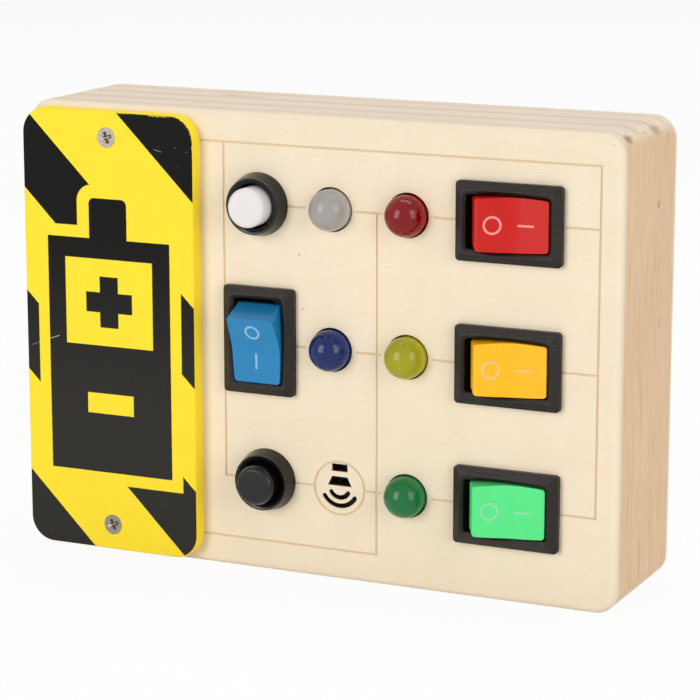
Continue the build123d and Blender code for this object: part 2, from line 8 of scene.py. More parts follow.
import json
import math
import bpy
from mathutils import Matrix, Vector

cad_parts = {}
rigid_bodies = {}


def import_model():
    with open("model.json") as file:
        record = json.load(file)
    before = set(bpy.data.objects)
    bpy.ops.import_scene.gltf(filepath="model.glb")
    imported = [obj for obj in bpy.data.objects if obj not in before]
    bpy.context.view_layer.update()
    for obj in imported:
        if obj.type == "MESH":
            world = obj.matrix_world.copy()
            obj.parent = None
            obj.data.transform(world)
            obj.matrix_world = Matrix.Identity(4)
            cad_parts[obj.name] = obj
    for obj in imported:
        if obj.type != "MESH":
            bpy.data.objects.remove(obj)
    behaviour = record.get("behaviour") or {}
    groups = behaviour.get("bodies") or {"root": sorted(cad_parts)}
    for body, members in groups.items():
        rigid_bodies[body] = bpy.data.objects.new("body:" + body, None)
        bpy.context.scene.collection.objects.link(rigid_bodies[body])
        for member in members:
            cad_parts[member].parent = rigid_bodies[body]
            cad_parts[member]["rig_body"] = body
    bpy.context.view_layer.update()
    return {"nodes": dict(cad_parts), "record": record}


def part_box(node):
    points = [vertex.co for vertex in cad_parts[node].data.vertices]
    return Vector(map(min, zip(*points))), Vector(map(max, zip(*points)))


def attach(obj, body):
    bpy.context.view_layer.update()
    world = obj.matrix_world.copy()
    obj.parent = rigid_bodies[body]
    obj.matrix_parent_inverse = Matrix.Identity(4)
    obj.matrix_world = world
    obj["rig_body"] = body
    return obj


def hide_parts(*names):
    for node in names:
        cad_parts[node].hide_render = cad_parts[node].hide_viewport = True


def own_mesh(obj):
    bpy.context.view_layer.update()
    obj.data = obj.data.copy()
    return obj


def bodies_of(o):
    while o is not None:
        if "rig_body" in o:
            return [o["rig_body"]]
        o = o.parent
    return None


bl_info = {
    "name": "Wooden Busy Board",
    "version": (1, 0, 0),
    "blender": (4, 5, 0),
    "location": "View3D > Sidebar > Busy Board",
    "description": "Finishes a wooden busy board with switches, push buttons and lamps",
    "category": "Object",
}

from functools import cache, partialmethod

import bmesh
import bpy
from bpy.props import FloatProperty, FloatVectorProperty, PointerProperty
from mathutils import Matrix, Vector
from mathutils.bvhtree import BVHTree

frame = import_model()

MM = 0.001

SWITCHES = ("red", "amber", "green", "blue")
BUTTONS = ("white", "black")
LAMPS = ("grey", "red", "blue", "olive", "green")
OUTWARD = Vector((0.0, -1.0, 0.0))


def linear(code):
    """Scene-linear colour of a hex code such as #f2e2c6."""
    parts = [int(code[i : i + 2], 16) / 255 for i in (1, 3, 5)]
    return tuple(c / 12.92 if c <= 0.04045 else ((c + 0.055) / 1.055) ** 2.4 for c in parts)


def middle(node):
    """Centre of a CAD node's box."""
    low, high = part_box(node)
    return (low + high) / 2


# ---- settings
def tint(name, description, code):
    """A colour setting, from a hex code."""
    return FloatVectorProperty(
        name=name, description=description, subtype="COLOR", default=linear(code)
    )


def size(name, description, millimetres):
    """A length setting."""
    return FloatProperty(
        name=name, description=description, unit="LENGTH", precision=5, default=millimetres * MM
    )


def watts(name, description, power):
    """A setting for the power of a light."""
    return FloatProperty(name=name, description=description, subtype="POWER", default=power)


def point(name, description, place):
    """A setting for a place, in metres."""
    return FloatVectorProperty(
        name=name, description=description, subtype="XYZ", unit="LENGTH", precision=5, default=place
    )


class BoardWoodSettings(bpy.types.PropertyGroup):
    ply_color: tint("Plywood", "Pale face veneer", "#f2e2c8")
    ply_fibre_color: tint("Plywood fibres", "Fine darker fibres of the face veneer", "#e3cda8")
    lip_color: tint("Rounded edge", "Sanded veneer round the edge of the face", "#e2d3bb")
    # The side colours go on every face that faces sideways, and are darker partly from painted
    # shade
    side_color_with_painted_shade: tint("Side rails", "Pale early wood of the upright rails", "#e0c29f")
    side_ring_color_with_painted_shade: tint("Side rail rings", "Darker late wood of the upright rails", "#cfa881")
    side_streak_color: tint("Side rail streaks", "Thin streaks of the upright rails", "#b98a63")
    top_color: tint("Top rails", "Pale early wood of the level rails", "#efdfca")
    top_ring_color: tint("Top rail rings", "Darker late wood of the level rails", "#dcc5ac")
    top_streak_color: tint("Top rail streaks", "Thin streaks of the level rails", "#b99a7e")
    # Also darkens the joint of the face and the rail, where it holds painted shade
    top_band_and_joint_shade_color: tint("Top rail bands", "Soft bands along the level rails", "#c3ab95")
    fleck_color: tint("Flecks", "Short dark flecks in the wood", "#9a7350")
    mark_color: tint("Side rail marks", "Small cracks and pits of the upright rails", "#5c4632")
    stain_color: tint("Stains", "Soft stains at the upper right corner", "#8d6244")
    groove_color: tint("Groove", "Wood lightly browned by the engraver", "#e3c8a1")
    scorch_color: tint("Scorched cut", "Wood browned where a hole is cut through", "#2e180e")
    groove_width: size("Groove width", "Width of the engraved lines", 0.42)
    groove_depth: size("Groove depth", "Depth of the engraved lines", 0.14)
    lamp_clearance: size(
        "Lamp clearance", "Gap between a lamp's hole and the engraved lines beside it", 1.2
    )
    sounder_ring_radius: size(
        "Sounder ring", "Radius of the engraved ring round the sound slots", 5.25
    )
    edge_softening: size("Edge softening", "Small round on every sawn edge", 0.04)


class BoardCoverSettings(bpy.types.PropertyGroup):
    plate_color: tint("Plate", "Yellow of the battery cover", "#fee136")
    print_color: tint("Print", "Black print at the top of the battery cover", "#050403")
    # Lower print colour: the black print made lighter towards the bottom by a painted reflection
    print_painted_reflection_color: tint("Faded print", "Print lower down, where hands have dulled it", "#2b2a27")
    worn_color: tint("Worn print", "Grime left where the print has worn off", "#8f8038")
    scratch_color: tint("Scratches", "Scratches in the print", "#c9c7bd")
    dust_color: tint("Dust", "Specks of dust on the print", "#b8b09a")
    stripe_pitch: size(
        "Stripe pitch", "Distance between stripes, measured along an edge of the plate", 36.6
    )
    stripe_width: size(
        "Stripe width", "Width of a black stripe, measured along an edge of the plate", 16.0
    )
    stripe_start: size(
        "Stripe start", "Where the first stripe's lower edge crosses the middle of the plate", 9.4
    )
    margin: size("Battery margin", "Bare yellow round the printed battery", 2.4)


class BoardPlasticSettings(bpy.types.PropertyGroup):
    black_color: tint("Charcoal", "Bezels, nuts, sounder and battery holder", "#1f1915")
    polished_color: tint("Polished black", "Button collars and the black cap", "#0d0b0a")
    white_color: tint("White", "White push button cap", "#e5e0df")
    red_color: tint("Red rocker", "Red rocker moulding", "#c6130a")
    amber_color: tint("Amber rocker", "Amber rocker moulding", "#fbbc18")
    green_color: tint("Green rocker", "Light green rocker moulding", "#58e788")
    blue_color: tint("Blue rocker", "Blue rocker moulding", "#2080b6")
    red_mark_color: tint("Red rocker's marks", "Ring and bar on the red rocker", "#ed918c")
    amber_mark_color: tint("Amber rocker's marks", "Ring and bar on the amber rocker", "#eec084")
    green_mark_color: tint("Green rocker's marks", "Ring and bar on the green rocker", "#8ddfa8")
    blue_mark_color: tint("Blue rocker's marks", "Ring and bar on the blue rocker", "#8bbbdb")
    crease_radius: size(
        "Crease radius", "Radius of the hollow between the two halves of a rocker", 9.0
    )
    ring_diameter: size("Ring diameter", "Outer diameter of the ring on a rocker", 3.5)
    mark_stroke: size("Mark stroke", "Line width of the ring and bar", 0.44)
    ring_place: size("Ring place", "Where the ring lies along the rocker, from its pivot", -2.1)
    bar_place: size("Bar place", "Where the bar lies along the rocker, from its pivot", 3.8)
    bar_length: size("Bar length", "Length of the bar on a rocker", 3.15)
    edge_softening: size("Rocker edges", "Small round on the edges of the rockers", 0.15)
    bezel_softening: size("Bezel edges", "Small round on the edges of the housings", 0.1)


class BoardLampSettings(bpy.types.PropertyGroup):
    grey_color: tint("Grey lamp", "Milky grey lens", "#a29d99")
    red_color: tint("Red lamp", "Dark red lens", "#800303")
    blue_color: tint("Blue lamp", "Dark blue lens", "#14245e")
    olive_color: tint("Olive lamp", "Yellow-green lens", "#a29c14")
    green_color: tint("Green lamp", "Green lens", "#12703a")


class BoardMetalSettings(bpy.types.PropertyGroup):
    screw_color: tint("Zinc", "Plated screws, contacts and springs", "#8a8175")
    brass_color: tint("Brass", "Switch blades and solder lugs", "#6b5832")
    jacket_color: tint("Cell jacket", "Plain jacket of the battery cells", "#3a3d42")


class BoardStageSettings(bpy.types.PropertyGroup):
    floor_color: tint("Floor", "Plain pale floor", "#ffffff")
    key_power: watts("Key softbox", "Power of the large softbox at the front left", 5.75)
    side_power: watts("Side softbox", "Power of the narrow softbox at the right", 3.6)
    rim_power: watts("Rim softbox", "Power of the dim softbox square to the right side", 2.5)
    top_power: watts("Top softbox", "Power of the softbox overhead", 7.8)
    room_light: FloatProperty(
        name="Room light",
        description="Strength of the even light all round",
        subtype="FACTOR",
        default=0.14,
    )
    lens: FloatProperty(
        name="Lens", description="Focal length of the camera", unit="CAMERA", default=142.97
    )
    camera_place: point("Camera place", "Where the camera stands", (0.225683, -0.48227, 0.156981))
    camera_target: point("Camera target", "The point that it looks at", (0.00872, -0.017, 0.0462))


class BoardSettings(bpy.types.PropertyGroup):
    wood: PointerProperty(type=BoardWoodSettings)
    cover: PointerProperty(type=BoardCoverSettings)
    plastic: PointerProperty(type=BoardPlasticSettings)
    lamps: PointerProperty(type=BoardLampSettings)
    metal: PointerProperty(type=BoardMetalSettings)
    stage: PointerProperty(type=BoardStageSettings)


def board():
    """The settings of this scene's busy board."""
    return bpy.context.scene.busy_board


# ---- node trees
# A colour mix node's sockets go by number, because its modes share their names
MIX_FACTOR, MIX_A, MIX_B, MIX_COLOR = 0, 6, 7, 2
NUMBER, COLOR, VECTOR = "NodeSocketFloat", "NodeSocketColor", "NodeSocketVector"


class Tree:
    """A node tree, with short calls to add nodes and join their sockets."""

    def __init__(self, tree):
        self.tree = tree

    def join(self, value, socket):
        """Link a socket or a field, or set a plain value."""
        if isinstance(value, Field):
            value = value.socket
        if isinstance(value, bpy.types.NodeSocket):
            self.tree.links.new(value, socket)
        else:
            socket.default_value = value

    def add(self, kind, inputs=(), **settings):
        """A new node, its inputs given by name or in their order."""
        node = self.tree.nodes.new(kind)
        for name, value in settings.items():
            setattr(node, name, value)
        for key, value in inputs.items() if isinstance(inputs, dict) else enumerate(inputs):
            self.join(value, node.inputs[key])
        return node

    def field(self, node, output=0):
        return Field(self, node.outputs[output])

    def noise(self, vector, scale, detail=2.0, roughness=0.5):
        values = {"Vector": vector, "Scale": scale, "Detail": detail, "Roughness": roughness}
        return self.field(self.add("ShaderNodeTexNoise", values))

    def stretch(self, vector, scale):
        """Coordinates drawn out along the axes where the scale is small."""
        return self.add("ShaderNodeMapping", {"Vector": vector, "Scale": scale}).outputs[0]

    def remap(self, value, low, high, to_low=0.0, to_high=1.0):
        """Slide a value smoothly from one range to another, clamped at the ends."""
        values = (value, low, high, to_low, to_high)
        return self.field(self.add("ShaderNodeMapRange", values, interpolation_type="SMOOTHSTEP"))

    def mix(self, factor, color_a, color_b):
        values = {MIX_FACTOR: factor, MIX_A: rgba(color_a), MIX_B: rgba(color_b)}
        return self.field(self.add("ShaderNodeMix", values, data_type="RGBA"), MIX_COLOR)

    def shaded(self, color, light):
        """A colour made lighter or darker by a factor."""
        values = (color, self.vector(light, light, light))
        return self.add("ShaderNodeVectorMath", values, operation="MULTIPLY").outputs[0]

    def axes(self, vector):
        """The three parts of a vector, as fields."""
        node = self.add("ShaderNodeSeparateXYZ", (vector,))
        return [self.field(node, i) for i in range(3)]

    def vector(self, x, y, z):
        return self.field(self.add("ShaderNodeCombineXYZ", (x, y, z)))

    def group(self, shared, inputs):
        node = self.add("ShaderNodeGroup", node_tree=shared)
        for name, value in inputs.items():
            colored = node.inputs[name].type == "RGBA"
            self.join(rgba(value) if colored else value, node.inputs[name])
        return node


class Field:
    """A value that changes over a surface. Arithmetic on it adds math nodes to its tree."""

    def __init__(self, tree, socket):
        self.tree = tree
        self.socket = socket

    def calc(self, operation, *others):
        node = self.tree.add("ShaderNodeMath", (self, *others), operation=operation)
        return self.tree.field(node)

    __add__ = partialmethod(calc, "ADD")
    __sub__ = partialmethod(calc, "SUBTRACT")
    __mul__ = partialmethod(calc, "MULTIPLY")
    __truediv__ = partialmethod(calc, "DIVIDE")
    __neg__ = partialmethod(calc, "MULTIPLY", -1.0)
    __abs__ = partialmethod(calc, "ABSOLUTE")
    least = partialmethod(calc, "MINIMUM")
    most = partialmethod(calc, "MAXIMUM")

    def clamped(self):
        return self.most(0.0).least(1.0)

    def inside(self, blur):
        """One where a signed distance is below zero and nought outside, over a short blur."""
        return (self / -blur + 0.5).clamped()


def rgba(value):
    """A plain colour of three parts gets its fourth. Anything else stays as it is."""
    if isinstance(value, (Field, bpy.types.NodeSocket, float, int)):
        return value
    return (*value, 1.0) if len(value) == 3 else tuple(value)


def cleared_tree(owner):
    """The empty node tree of a new material or world."""
    owner.use_nodes = True
    owner.node_tree.nodes.clear()
    return owner.node_tree


def shader_group(name, inputs, *outputs):
    """Turn a function that builds nodes into one that gives the group they make.

    Every material shares the group, which is made on its first use. An input's default
    sets its kind: a number, a colour, or None for a vector.
    """

    def make(build):
        group = bpy.data.node_groups.new(name, "ShaderNodeTree")
        for label, default in inputs.items():
            kind = {float: NUMBER, tuple: COLOR}.get(type(default), VECTOR)
            socket = group.interface.new_socket(label, in_out="INPUT", socket_type=kind)
            if default is not None:
                socket.default_value = rgba(default)
        for label in outputs:
            kind = COLOR if label == "Color" else NUMBER
            group.interface.new_socket(label, in_out="OUTPUT", socket_type=kind)
        tree = Tree(group)
        values = build(tree, tree.add("NodeGroupInput").outputs)
        tree.add("NodeGroupOutput", values)
        return group

    return lambda build: cache(lambda: make(build))


@shader_group(
    "Wood Grain",
    {
        "Vector": None,
        "Pale": (1.0, 1.0, 1.0),
        "Dark": (0.5, 0.5, 0.5),
        "Fleck": (0.2, 0.1, 0.1),
        "Fibre Scale": 2500.0,
        "Fibre Amount": 0.5,
        "Ring Pitch": 0.004,
        "Ring Waver": 0.002,
        "Ring Amount": 0.5,
        "Fleck Scale": 700.0,
        "Fleck Amount": 0.0,
    },
    "Color",
    "Height",
)
def wood_grain(tree, given):
    """Fibres, growth rings and flecks of a plank whose grain runs along the vector's X."""
    stretched = tree.stretch(given["Vector"], (0.035, 1.0, 1.0))
    waved = tree.stretch(given["Vector"], (0.09, 1.0, 1.0))
    fibre = tree.noise(stretched, given["Fibre Scale"], detail=3.0, roughness=0.65)
    cloud = tree.noise(waved, 120.0)
    ring_place = tree.axes(given["Vector"])[1] + cloud * given["Ring Waver"]
    ring = tree.remap((ring_place / given["Ring Pitch"]).calc("FRACT"), 0.35, 1.0)
    ring_share = ring * given["Ring Amount"] * tree.remap(cloud, 0.3, 0.7, 0.35, 1.0)
    body = tree.mix(ring_share, given["Pale"], given["Dark"])
    fibre_share = tree.remap(fibre, 0.42, 0.72) * given["Fibre Amount"]
    fibred = tree.mix(fibre_share, body, given["Dark"])
    fleck_noise = tree.noise(waved, given["Fleck Scale"], detail=1.0)
    fleck = tree.remap(fleck_noise, 0.71, 0.76) * given["Fleck Amount"]
    patch = tree.noise(given["Vector"], 45.0, detail=1.0)
    color = tree.mix(fleck, fibred, given["Fleck"])
    return {
        "Color": tree.shaded(color, tree.remap(patch, 0.3, 0.7, 0.985, 1.01)),
        "Height": fibre * 0.6 - fleck * 0.5 - ring_share * 0.2,
    }


@shader_group(
    "Moulded Skin",
    {"Vector": None, "Color": (0.5, 0.5, 0.5), "Roughness": 0.4, "Grain Scale": 6000.0},
    "Color",
    "Roughness",
    "Height",
)
def moulded_skin(tree, given):
    """Fine spark-eroded skin of a plastic moulding, with slightly uneven gloss and colour."""
    cloud = tree.noise(given["Vector"], 220.0)
    return {
        "Color": tree.shaded(given["Color"], tree.remap(cloud, 0.3, 0.7, 0.985, 1.01)),
        "Roughness": tree.remap(cloud, 0.3, 0.7, -0.02, 0.02) + given["Roughness"],
        "Height": tree.noise(given["Vector"], given["Grain Scale"]),
    }


@shader_group("Fine Specks", {"Vector": None, "Scale": 900.0, "Size": 0.12, "Rarity": 0.9}, "Mask")
def fine_specks(tree, given):
    """Scattered specks of dust, as a mask."""
    place = {"Vector": given["Vector"], "Scale": given["Scale"]}
    cells = tree.add("ShaderNodeTexVoronoi", place)
    chance = tree.axes(cells.outputs["Color"])[0]
    spot = (tree.field(cells) - chance * given["Size"]).inside(0.04)
    return {"Mask": spot * tree.remap(chance, given["Rarity"], 1.0).calc("GREATER_THAN", 0.001)}


STROKE_ENDS = ("From X", "From Z", "To X", "To Z")


@shader_group(
    "Short Stroke",
    {"Across": 0.0, "Along": 0.0, **dict.fromkeys(STROKE_ENDS, 0.0), "Half Width": 0.1},
    "Mask",
)
def short_stroke(tree, given):
    """A straight mark between two points of a flat face, as a mask."""
    across, along, to_x, to_z = (
        Field(tree, given[name]) for name in ("Across", "Along", "To X", "To Z")
    )
    from_x, from_z = across - given["From X"], along - given["From Z"]
    run_x, run_z = to_x - given["From X"], to_z - given["From Z"]
    length = (run_x * run_x + run_z * run_z).most(1e-6)
    share = ((from_x * run_x + from_z * run_z) / length).clamped()
    away_x, away_z = from_x - share * run_x, from_z - share * run_z
    distance = (away_x * away_x + away_z * away_z).calc("SQRT")
    return {"Mask": (distance - given["Half Width"]).inside(0.12)}


@shader_group("Soft Spot", {"Vector": None, "Centre": None, "Radius": 0.001}, "Mask")
def soft_spot(tree, given):
    """A stain that fades out from a point, as a mask."""
    ends = (given["Vector"], given["Centre"])
    apart = tree.add("ShaderNodeVectorMath", ends, operation="DISTANCE")
    reach = tree.field(apart, "Value") / given["Radius"]
    return {"Mask": tree.remap(reach, 0.2, 1.0, 1.0, 0.0)}


def strokes(tree, across, along, marks, half_width):
    """One mask for several strokes, each given by its two ends and its strength."""
    total = None
    for *ends, strength in marks:
        values = {"Across": across, "Along": along, **dict(zip(STROKE_ENDS, ends))}
        values["Half Width"] = half_width
        mask = tree.field(tree.group(short_stroke(), values)) * strength
        total = mask if total is None else total.most(mask)
    return total


class Finish(Tree):
    """A new material's tree, with its Principled shader and the piece's own coordinates."""

    def __init__(self, name):
        self.material = bpy.data.materials.new(name)
        super().__init__(cleared_tree(self.material))
        self.shader = self.add("ShaderNodeBsdfPrincipled")
        self.add("ShaderNodeOutputMaterial", {"Surface": self.shader.outputs[0]})
        self.place = self.add("ShaderNodeTexCoord").outputs["Object"]

    def done(self, color, roughness, height=None, relief=0.0, shine=None, metallic=0.0):
        """The material, with its looks joined to the shader or set on the shader's sockets."""
        values = {"Base Color": color, "Roughness": roughness, "Metallic": metallic}
        if shine is not None:
            values["Specular IOR Level"] = shine
        if height is not None:
            bump = self.add("ShaderNodeBump", {"Height": height, "Distance": relief, "Strength": 1})
            values["Normal"] = bump.outputs[0]
        for name, value in values.items():
            self.join(value, self.shader.inputs[name])
        return self.material


# ---- wood
# Marks on a flat face: from x, from z, to x, to z in mm, and strength
FACE_SPECKS = ((-3.1, 63.2, -2.7, 63.3, 0.7), (-2.2, 52.7, -2.0, 52.9, 0.6))
# Marks on the right side: from y, from z, to y, to z in mm, and strength
SIDE_MARKS = (
    (4.1, 74.9, 4.4, 73.9, 0.9),
    (4.4, 73.9, 5.0, 75.4, 1.0),
    (9.4, 85.6, 9.5, 87.3, 0.6),
    (6.4, 52.6, 6.2, 51.0, 0.7),
    (-2.0, 33.0, -2.1, 31.4, 0.5),
    (3.2, 14.0, 3.1, 12.2, 0.5),
    (-8.0, 64.0, -8.1, 57.5, 0.25),
    (-1.6, 59.0, -1.7, 56.5, 0.3),
    (5.3, 65.0, 5.2, 61.8, 0.3),
)
MARK_HALF_WIDTH = 0.12
# Bands along the top: y of the middle and half width in mm, and strength
# The first band lies on the joint of the face and the rail: a dark joint line with painted shade in
# it
TOP_BANDS_AND_JOINT_SHADE = ((-12.0, 1.3, 0.75), (-4.5, 1.8, 0.35), (3.5, 1.6, 0.45), (10.5, 1.2, 0.3))
# Stains at the upper right corner: y and radius in mm, and strength
STAINS = ((-10.3, 1.5, 0.85), (4.6, 1.7, 0.55))
STAIN_SQUASH = 0.5
WOOD_SHINE = 0.2


def upward(tree):
    """One where a surface faces up or down and nought where it faces sideways."""
    normal = tree.add("ShaderNodeTexCoord").outputs["Normal"]
    return tree.remap(abs(tree.axes(normal)[2]), 0.3, 0.85)


def rail_tones_with_painted_side_shade(tree, up):
    """Early and late wood of the case's edges, paler above than at the sides: partly the wood's own
    colour, partly painted shade on every face that faces sideways.
    """
    wood = board().wood
    pale = tree.mix(up, wood.side_color_with_painted_shade, wood.top_color)
    return pale, tree.mix(up, wood.side_ring_color_with_painted_shade, wood.top_ring_color)


@cache
def plywood(panel):
    """Birch plywood: pale veneer with fine fibres, browned where it is engraved or cut."""
    wood = board().wood
    front = panel == "front_panel"
    tree = Finish("plywood_face" if front else "plywood_back")
    low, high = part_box(panel)
    x, y, z = tree.axes(tree.place)
    veneer = tree.group(
        wood_grain(),
        {
            "Vector": tree.vector(x * 3.2, z, y),
            "Pale": wood.ply_color,
            "Dark": wood.ply_fibre_color,
            "Fibre Scale": 3800.0,
            "Fibre Amount": 0.3,
            "Ring Pitch": 14 * MM,
            "Ring Waver": 20 * MM,
            "Ring Amount": 0.12,
        },
    )
    # Below the outer face, in mm: the lip, then the plies
    depth = (y - low.y) / MM if front else (y - high.y) / -MM
    # Plies at the edges take the rails' tones, with painted shade where they face sideways
    pale, dark = rail_tones_with_painted_side_shade(tree, upward(tree))
    streaked = tree.stretch(tree.place, (0.05, 1.0, 0.05))
    layers = tree.remap(tree.noise(streaked, 2600.0), 0.45, 0.65)
    core = tree.mix(layers * 0.7, pale, dark)
    lip = tree.remap(depth, 0.5, 1.1) * 0.7
    color = tree.mix(lip, veneer.outputs["Color"], wood.lip_color)
    color = tree.mix(tree.remap(depth, 1.2, 1.9), color, core)
    if front:
        specks = strokes(tree, x / MM, z / MM, FACE_SPECKS, MARK_HALF_WIDTH)
        color = tree.mix(specks, color, wood.fleck_color)
        from_side = abs(x) / -MM + high.x / MM
        from_end = abs(z - (low.z + high.z) / 2) / -MM + (high.z - low.z) / 2 / MM
        within = tree.remap(from_side.least(from_end), 1.8, 2.0)
        # Off the lip: shallow cuts are grooves, deeper ones are holes
        cut = tree.remap(depth, 0.01, 0.08) * within
        through = tree.remap(depth, 0.25, 0.5) * within
        browned = tree.mix(cut, color, wood.groove_color)
        color = tree.mix(through, browned, wood.scorch_color)
    rough = tree.remap(tree.noise(tree.place, 300.0), 0.3, 0.7, 0.55, 0.65)
    return tree.done(color, rough, veneer.outputs["Height"], 0.015 * MM, WOOD_SHINE)


@cache
def pine(axis):
    """Planed pine whose grain runs along X or Z, with a few marks of its own."""
    wood = board().wood
    upright = axis == "Z"
    tree = Finish(f"pine_along_{axis.lower()}")
    up = upward(tree)
    # Faces that face sideways get the darker tones: partly the wood's colour, partly painted shade
    pale, dark = rail_tones_with_painted_side_shade(tree, up)
    x, y, z = tree.axes(tree.place)
    grain = tree.group(
        wood_grain(),
        {
            "Vector": tree.vector(z, x, y) if upright else tree.vector(x, z, y),
            "Pale": pale,
            "Dark": dark,
            "Fleck": wood.fleck_color,
            "Fibre Scale": 2600.0,
            "Fibre Amount": 0.45,
            "Ring Pitch": 5.5 * MM,
            "Ring Waver": 7 * MM,
            "Ring Amount": 0.14,
            "Fleck Scale": 650.0,
            "Fleck Amount": 0.3,
        },
    )
    x, y, z = x / MM, y / MM, z / MM
    low, high = (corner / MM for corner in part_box("right_rail"))
    color = grain.outputs["Color"]
    stretched = tree.stretch(tree.place, (1.0, 1.0, 0.03) if upright else (0.02, 1.0, 1.0))
    streak = tree.remap(tree.noise(stretched, 1300.0, detail=1.0), 0.6, 0.7)
    if upright:
        front = tree.remap(y, low.y + 4.0, high.y, 1.0, 0.35)
        lower = tree.remap(z, 60.0, 68.0, 1.0, 0.3)
        color = tree.mix(streak * front * lower * 0.36, color, wood.side_streak_color)
        right = tree.remap(x, 50.0, 51.0)
        marks = strokes(tree, y, z, SIDE_MARKS, MARK_HALF_WIDTH) * right
        color = tree.mix(marks, color, wood.mark_color)
    else:
        color = tree.mix(streak * 0.18, color, wood.top_streak_color)
        wobble = (tree.noise(stretched, 60.0) - 0.5) * 2.2
        for middle_y, half, strength in TOP_BANDS_AND_JOINT_SHADE:
            band = tree.remap(abs(y - middle_y + wobble), 0.0, half, strength, 0.0)
            color = tree.mix(band * up, color, wood.top_band_and_joint_shade_color)
    squashed = tree.vector(x, y * STAIN_SQUASH, z)
    for depth, radius, strength in STAINS:
        centre = (high.x - 1.5, depth * STAIN_SQUASH, high.z - 0.6)
        values = {"Vector": squashed, "Centre": centre, "Radius": radius}
        stain = tree.field(tree.group(soft_spot(), values)) * strength
        color = tree.mix(stain, color, wood.stain_color)
    rough = tree.remap(tree.noise(tree.place, 260.0), 0.3, 0.7, 0.55, 0.66)
    return tree.done(color, rough, grain.outputs["Height"], 0.03 * MM, WOOD_SHINE)


# ---- print
# Parts of the battery sign: half width, half height, height of the middle, corner, in mm
BATTERY_SIGN = {
    "body": (13.6, 23.5, -4.7, 0.0),
    "terminal": (4.2, 5.4, 21.4, 1.2),
    "terminal_margin": (6.85, 8.0, 21.4, 3.4),
    "window": (9.7, 8.65, 6.15, 0.0),
    "plus_upright": (2.05, 5.1, 6.25, 0.0),
    "plus_level": (5.15, 2.0, 6.15, 0.0),
    "minus": (5.15, 2.05, -14.2, 0.0),
}
PLATE_CORNER = 5.0
# Scratches in the plate: from x, from z, to x, to z in mm, and strength
SCRATCHES = (
    (10.5, 37.1, 12.1, 36.75, 0.35),
    (15.0, 37.7, 15.2, 37.7, 0.2),
    (17.5, 37.0, 17.6, 36.9, 0.25),
    (-17.8, -3.7, -16.0, -3.0, 0.3),
    (-14.0, -2.2, -11.5, -1.3, 0.8),
)
SCRATCH_HALF_WIDTH = 0.07


def box_distance(x, z, half_x, half_z, middle_z=0.0, corner=0.0):
    """Signed distance from a rectangle, whose square corners stay square as it grows."""
    across = abs(x) - (half_x - corner)
    along = abs(z - middle_z) - (half_z - corner)
    if not corner:
        return across.most(along)
    far_x, far_z = across.most(0.0), along.most(0.0)
    beyond = (far_x * far_x + far_z * far_z).calc("SQRT")
    return beyond + across.most(along).least(0.0) - corner


@cache
def printed_plate():
    """Yellow plate with black stripes and a battery sign printed on its face."""
    cover = board().cover
    tree = Finish("printed_plate")
    low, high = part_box("battery_cover")
    centre = middle("battery_cover")
    x, y, z = tree.axes(tree.place)
    x = (x - centre.x) / MM
    z = (z - centre.z) / MM
    part = {name: box_distance(x, z, *sizes) for name, sizes in BATTERY_SIGN.items()}
    plus = part["plus_upright"].least(part["plus_level"])
    battery = part["body"].least(part["terminal"]).most(-part["window"])
    battery = battery.least(plus).most(-part["minus"])
    around = (part["body"] - cover.margin / MM).least(part["terminal_margin"])
    half_stripe = cover.stripe_width / MM / 2
    along = (x + z - cover.stripe_start / MM).calc("FLOORED_MODULO", cover.stripe_pitch / MM)
    stripe = (abs(along - half_stripe) - half_stripe) * math.cos(math.pi / 4)
    jitter = (tree.noise(tree.place, 2500.0, detail=1.0) - 0.5) * 0.12
    face = tree.remap((y - low.y) / MM, 0.1, 0.2, 1.0, 0.0)
    printed = (battery.least(stripe.most(-around)) + jitter).inside(0.1) * face

    # Ink worn off in nibbles along the rim at the upper right corner
    half = (high - low) / 2 / MM
    rim = -box_distance(x, z, half.x, half.z, corner=PLATE_CORNER)
    nibbles = tree.remap(tree.noise(tree.place, 2300.0, detail=3.0), 0.35, 0.6, 0.0, 0.22)
    step = tree.remap(x, 9.2, 9.6, 0.0, 0.2) * tree.remap(x, 12.8, 15.0, 1.0, 0.0)
    corner = tree.remap(x, 2.0, 3.0) * tree.remap(z, 36.0, 38.0)
    worn = (nibbles + step + 0.06 - rim).inside(-0.1) * corner
    ink = printed * (-worn + 1.0)

    values = {"Vector": tree.place, "Color": cover.plate_color}
    skin = tree.group(moulded_skin(), {**values, "Roughness": 0.5, "Grain Scale": 1500.0})
    # Painted reflection: the print grows lighter towards the bottom
    tone = tree.mix(tree.remap(z, -20.0, 26.0), cover.print_painted_reflection_color, cover.print_color)
    bare = tree.mix(worn * printed * 0.6, skin.outputs["Color"], cover.worn_color)
    scraped = strokes(tree, x, z, SCRATCHES, SCRATCH_HALF_WIDTH) * ink
    scuffed = tree.mix(scraped, tree.mix(ink, bare, tone), cover.scratch_color)
    specks = tree.group(fine_specks(), {"Vector": tree.place, "Scale": 700.0, "Rarity": 0.93})
    dusty = tree.mix(tree.field(specks) * ink * 0.08, scuffed, cover.dust_color)
    return tree.done(dusty, skin.outputs["Roughness"], skin.outputs["Height"], 0.01 * MM, 0.1)


# ---- plastic and metal
@cache
def plastic(name, color, roughness, relief, shine=0.3, grain_scale=6000.0):
    """A moulding in one colour, its skin from sparked to polished."""
    tree = Finish(name)
    values = {"Vector": tree.place, "Color": color}
    skin = tree.group(
        moulded_skin(), {**values, "Roughness": roughness, "Grain Scale": grain_scale}
    )
    specks = tree.group(fine_specks(), {"Vector": tree.place, "Scale": 600.0, "Rarity": 0.95})
    pale = tree.mix(0.5, color, (1.0, 1.0, 1.0))
    dusty = tree.mix(tree.field(specks) * 0.08, skin.outputs["Color"], pale)
    return tree.done(dusty, skin.outputs["Roughness"], skin.outputs["Height"], relief, shine)


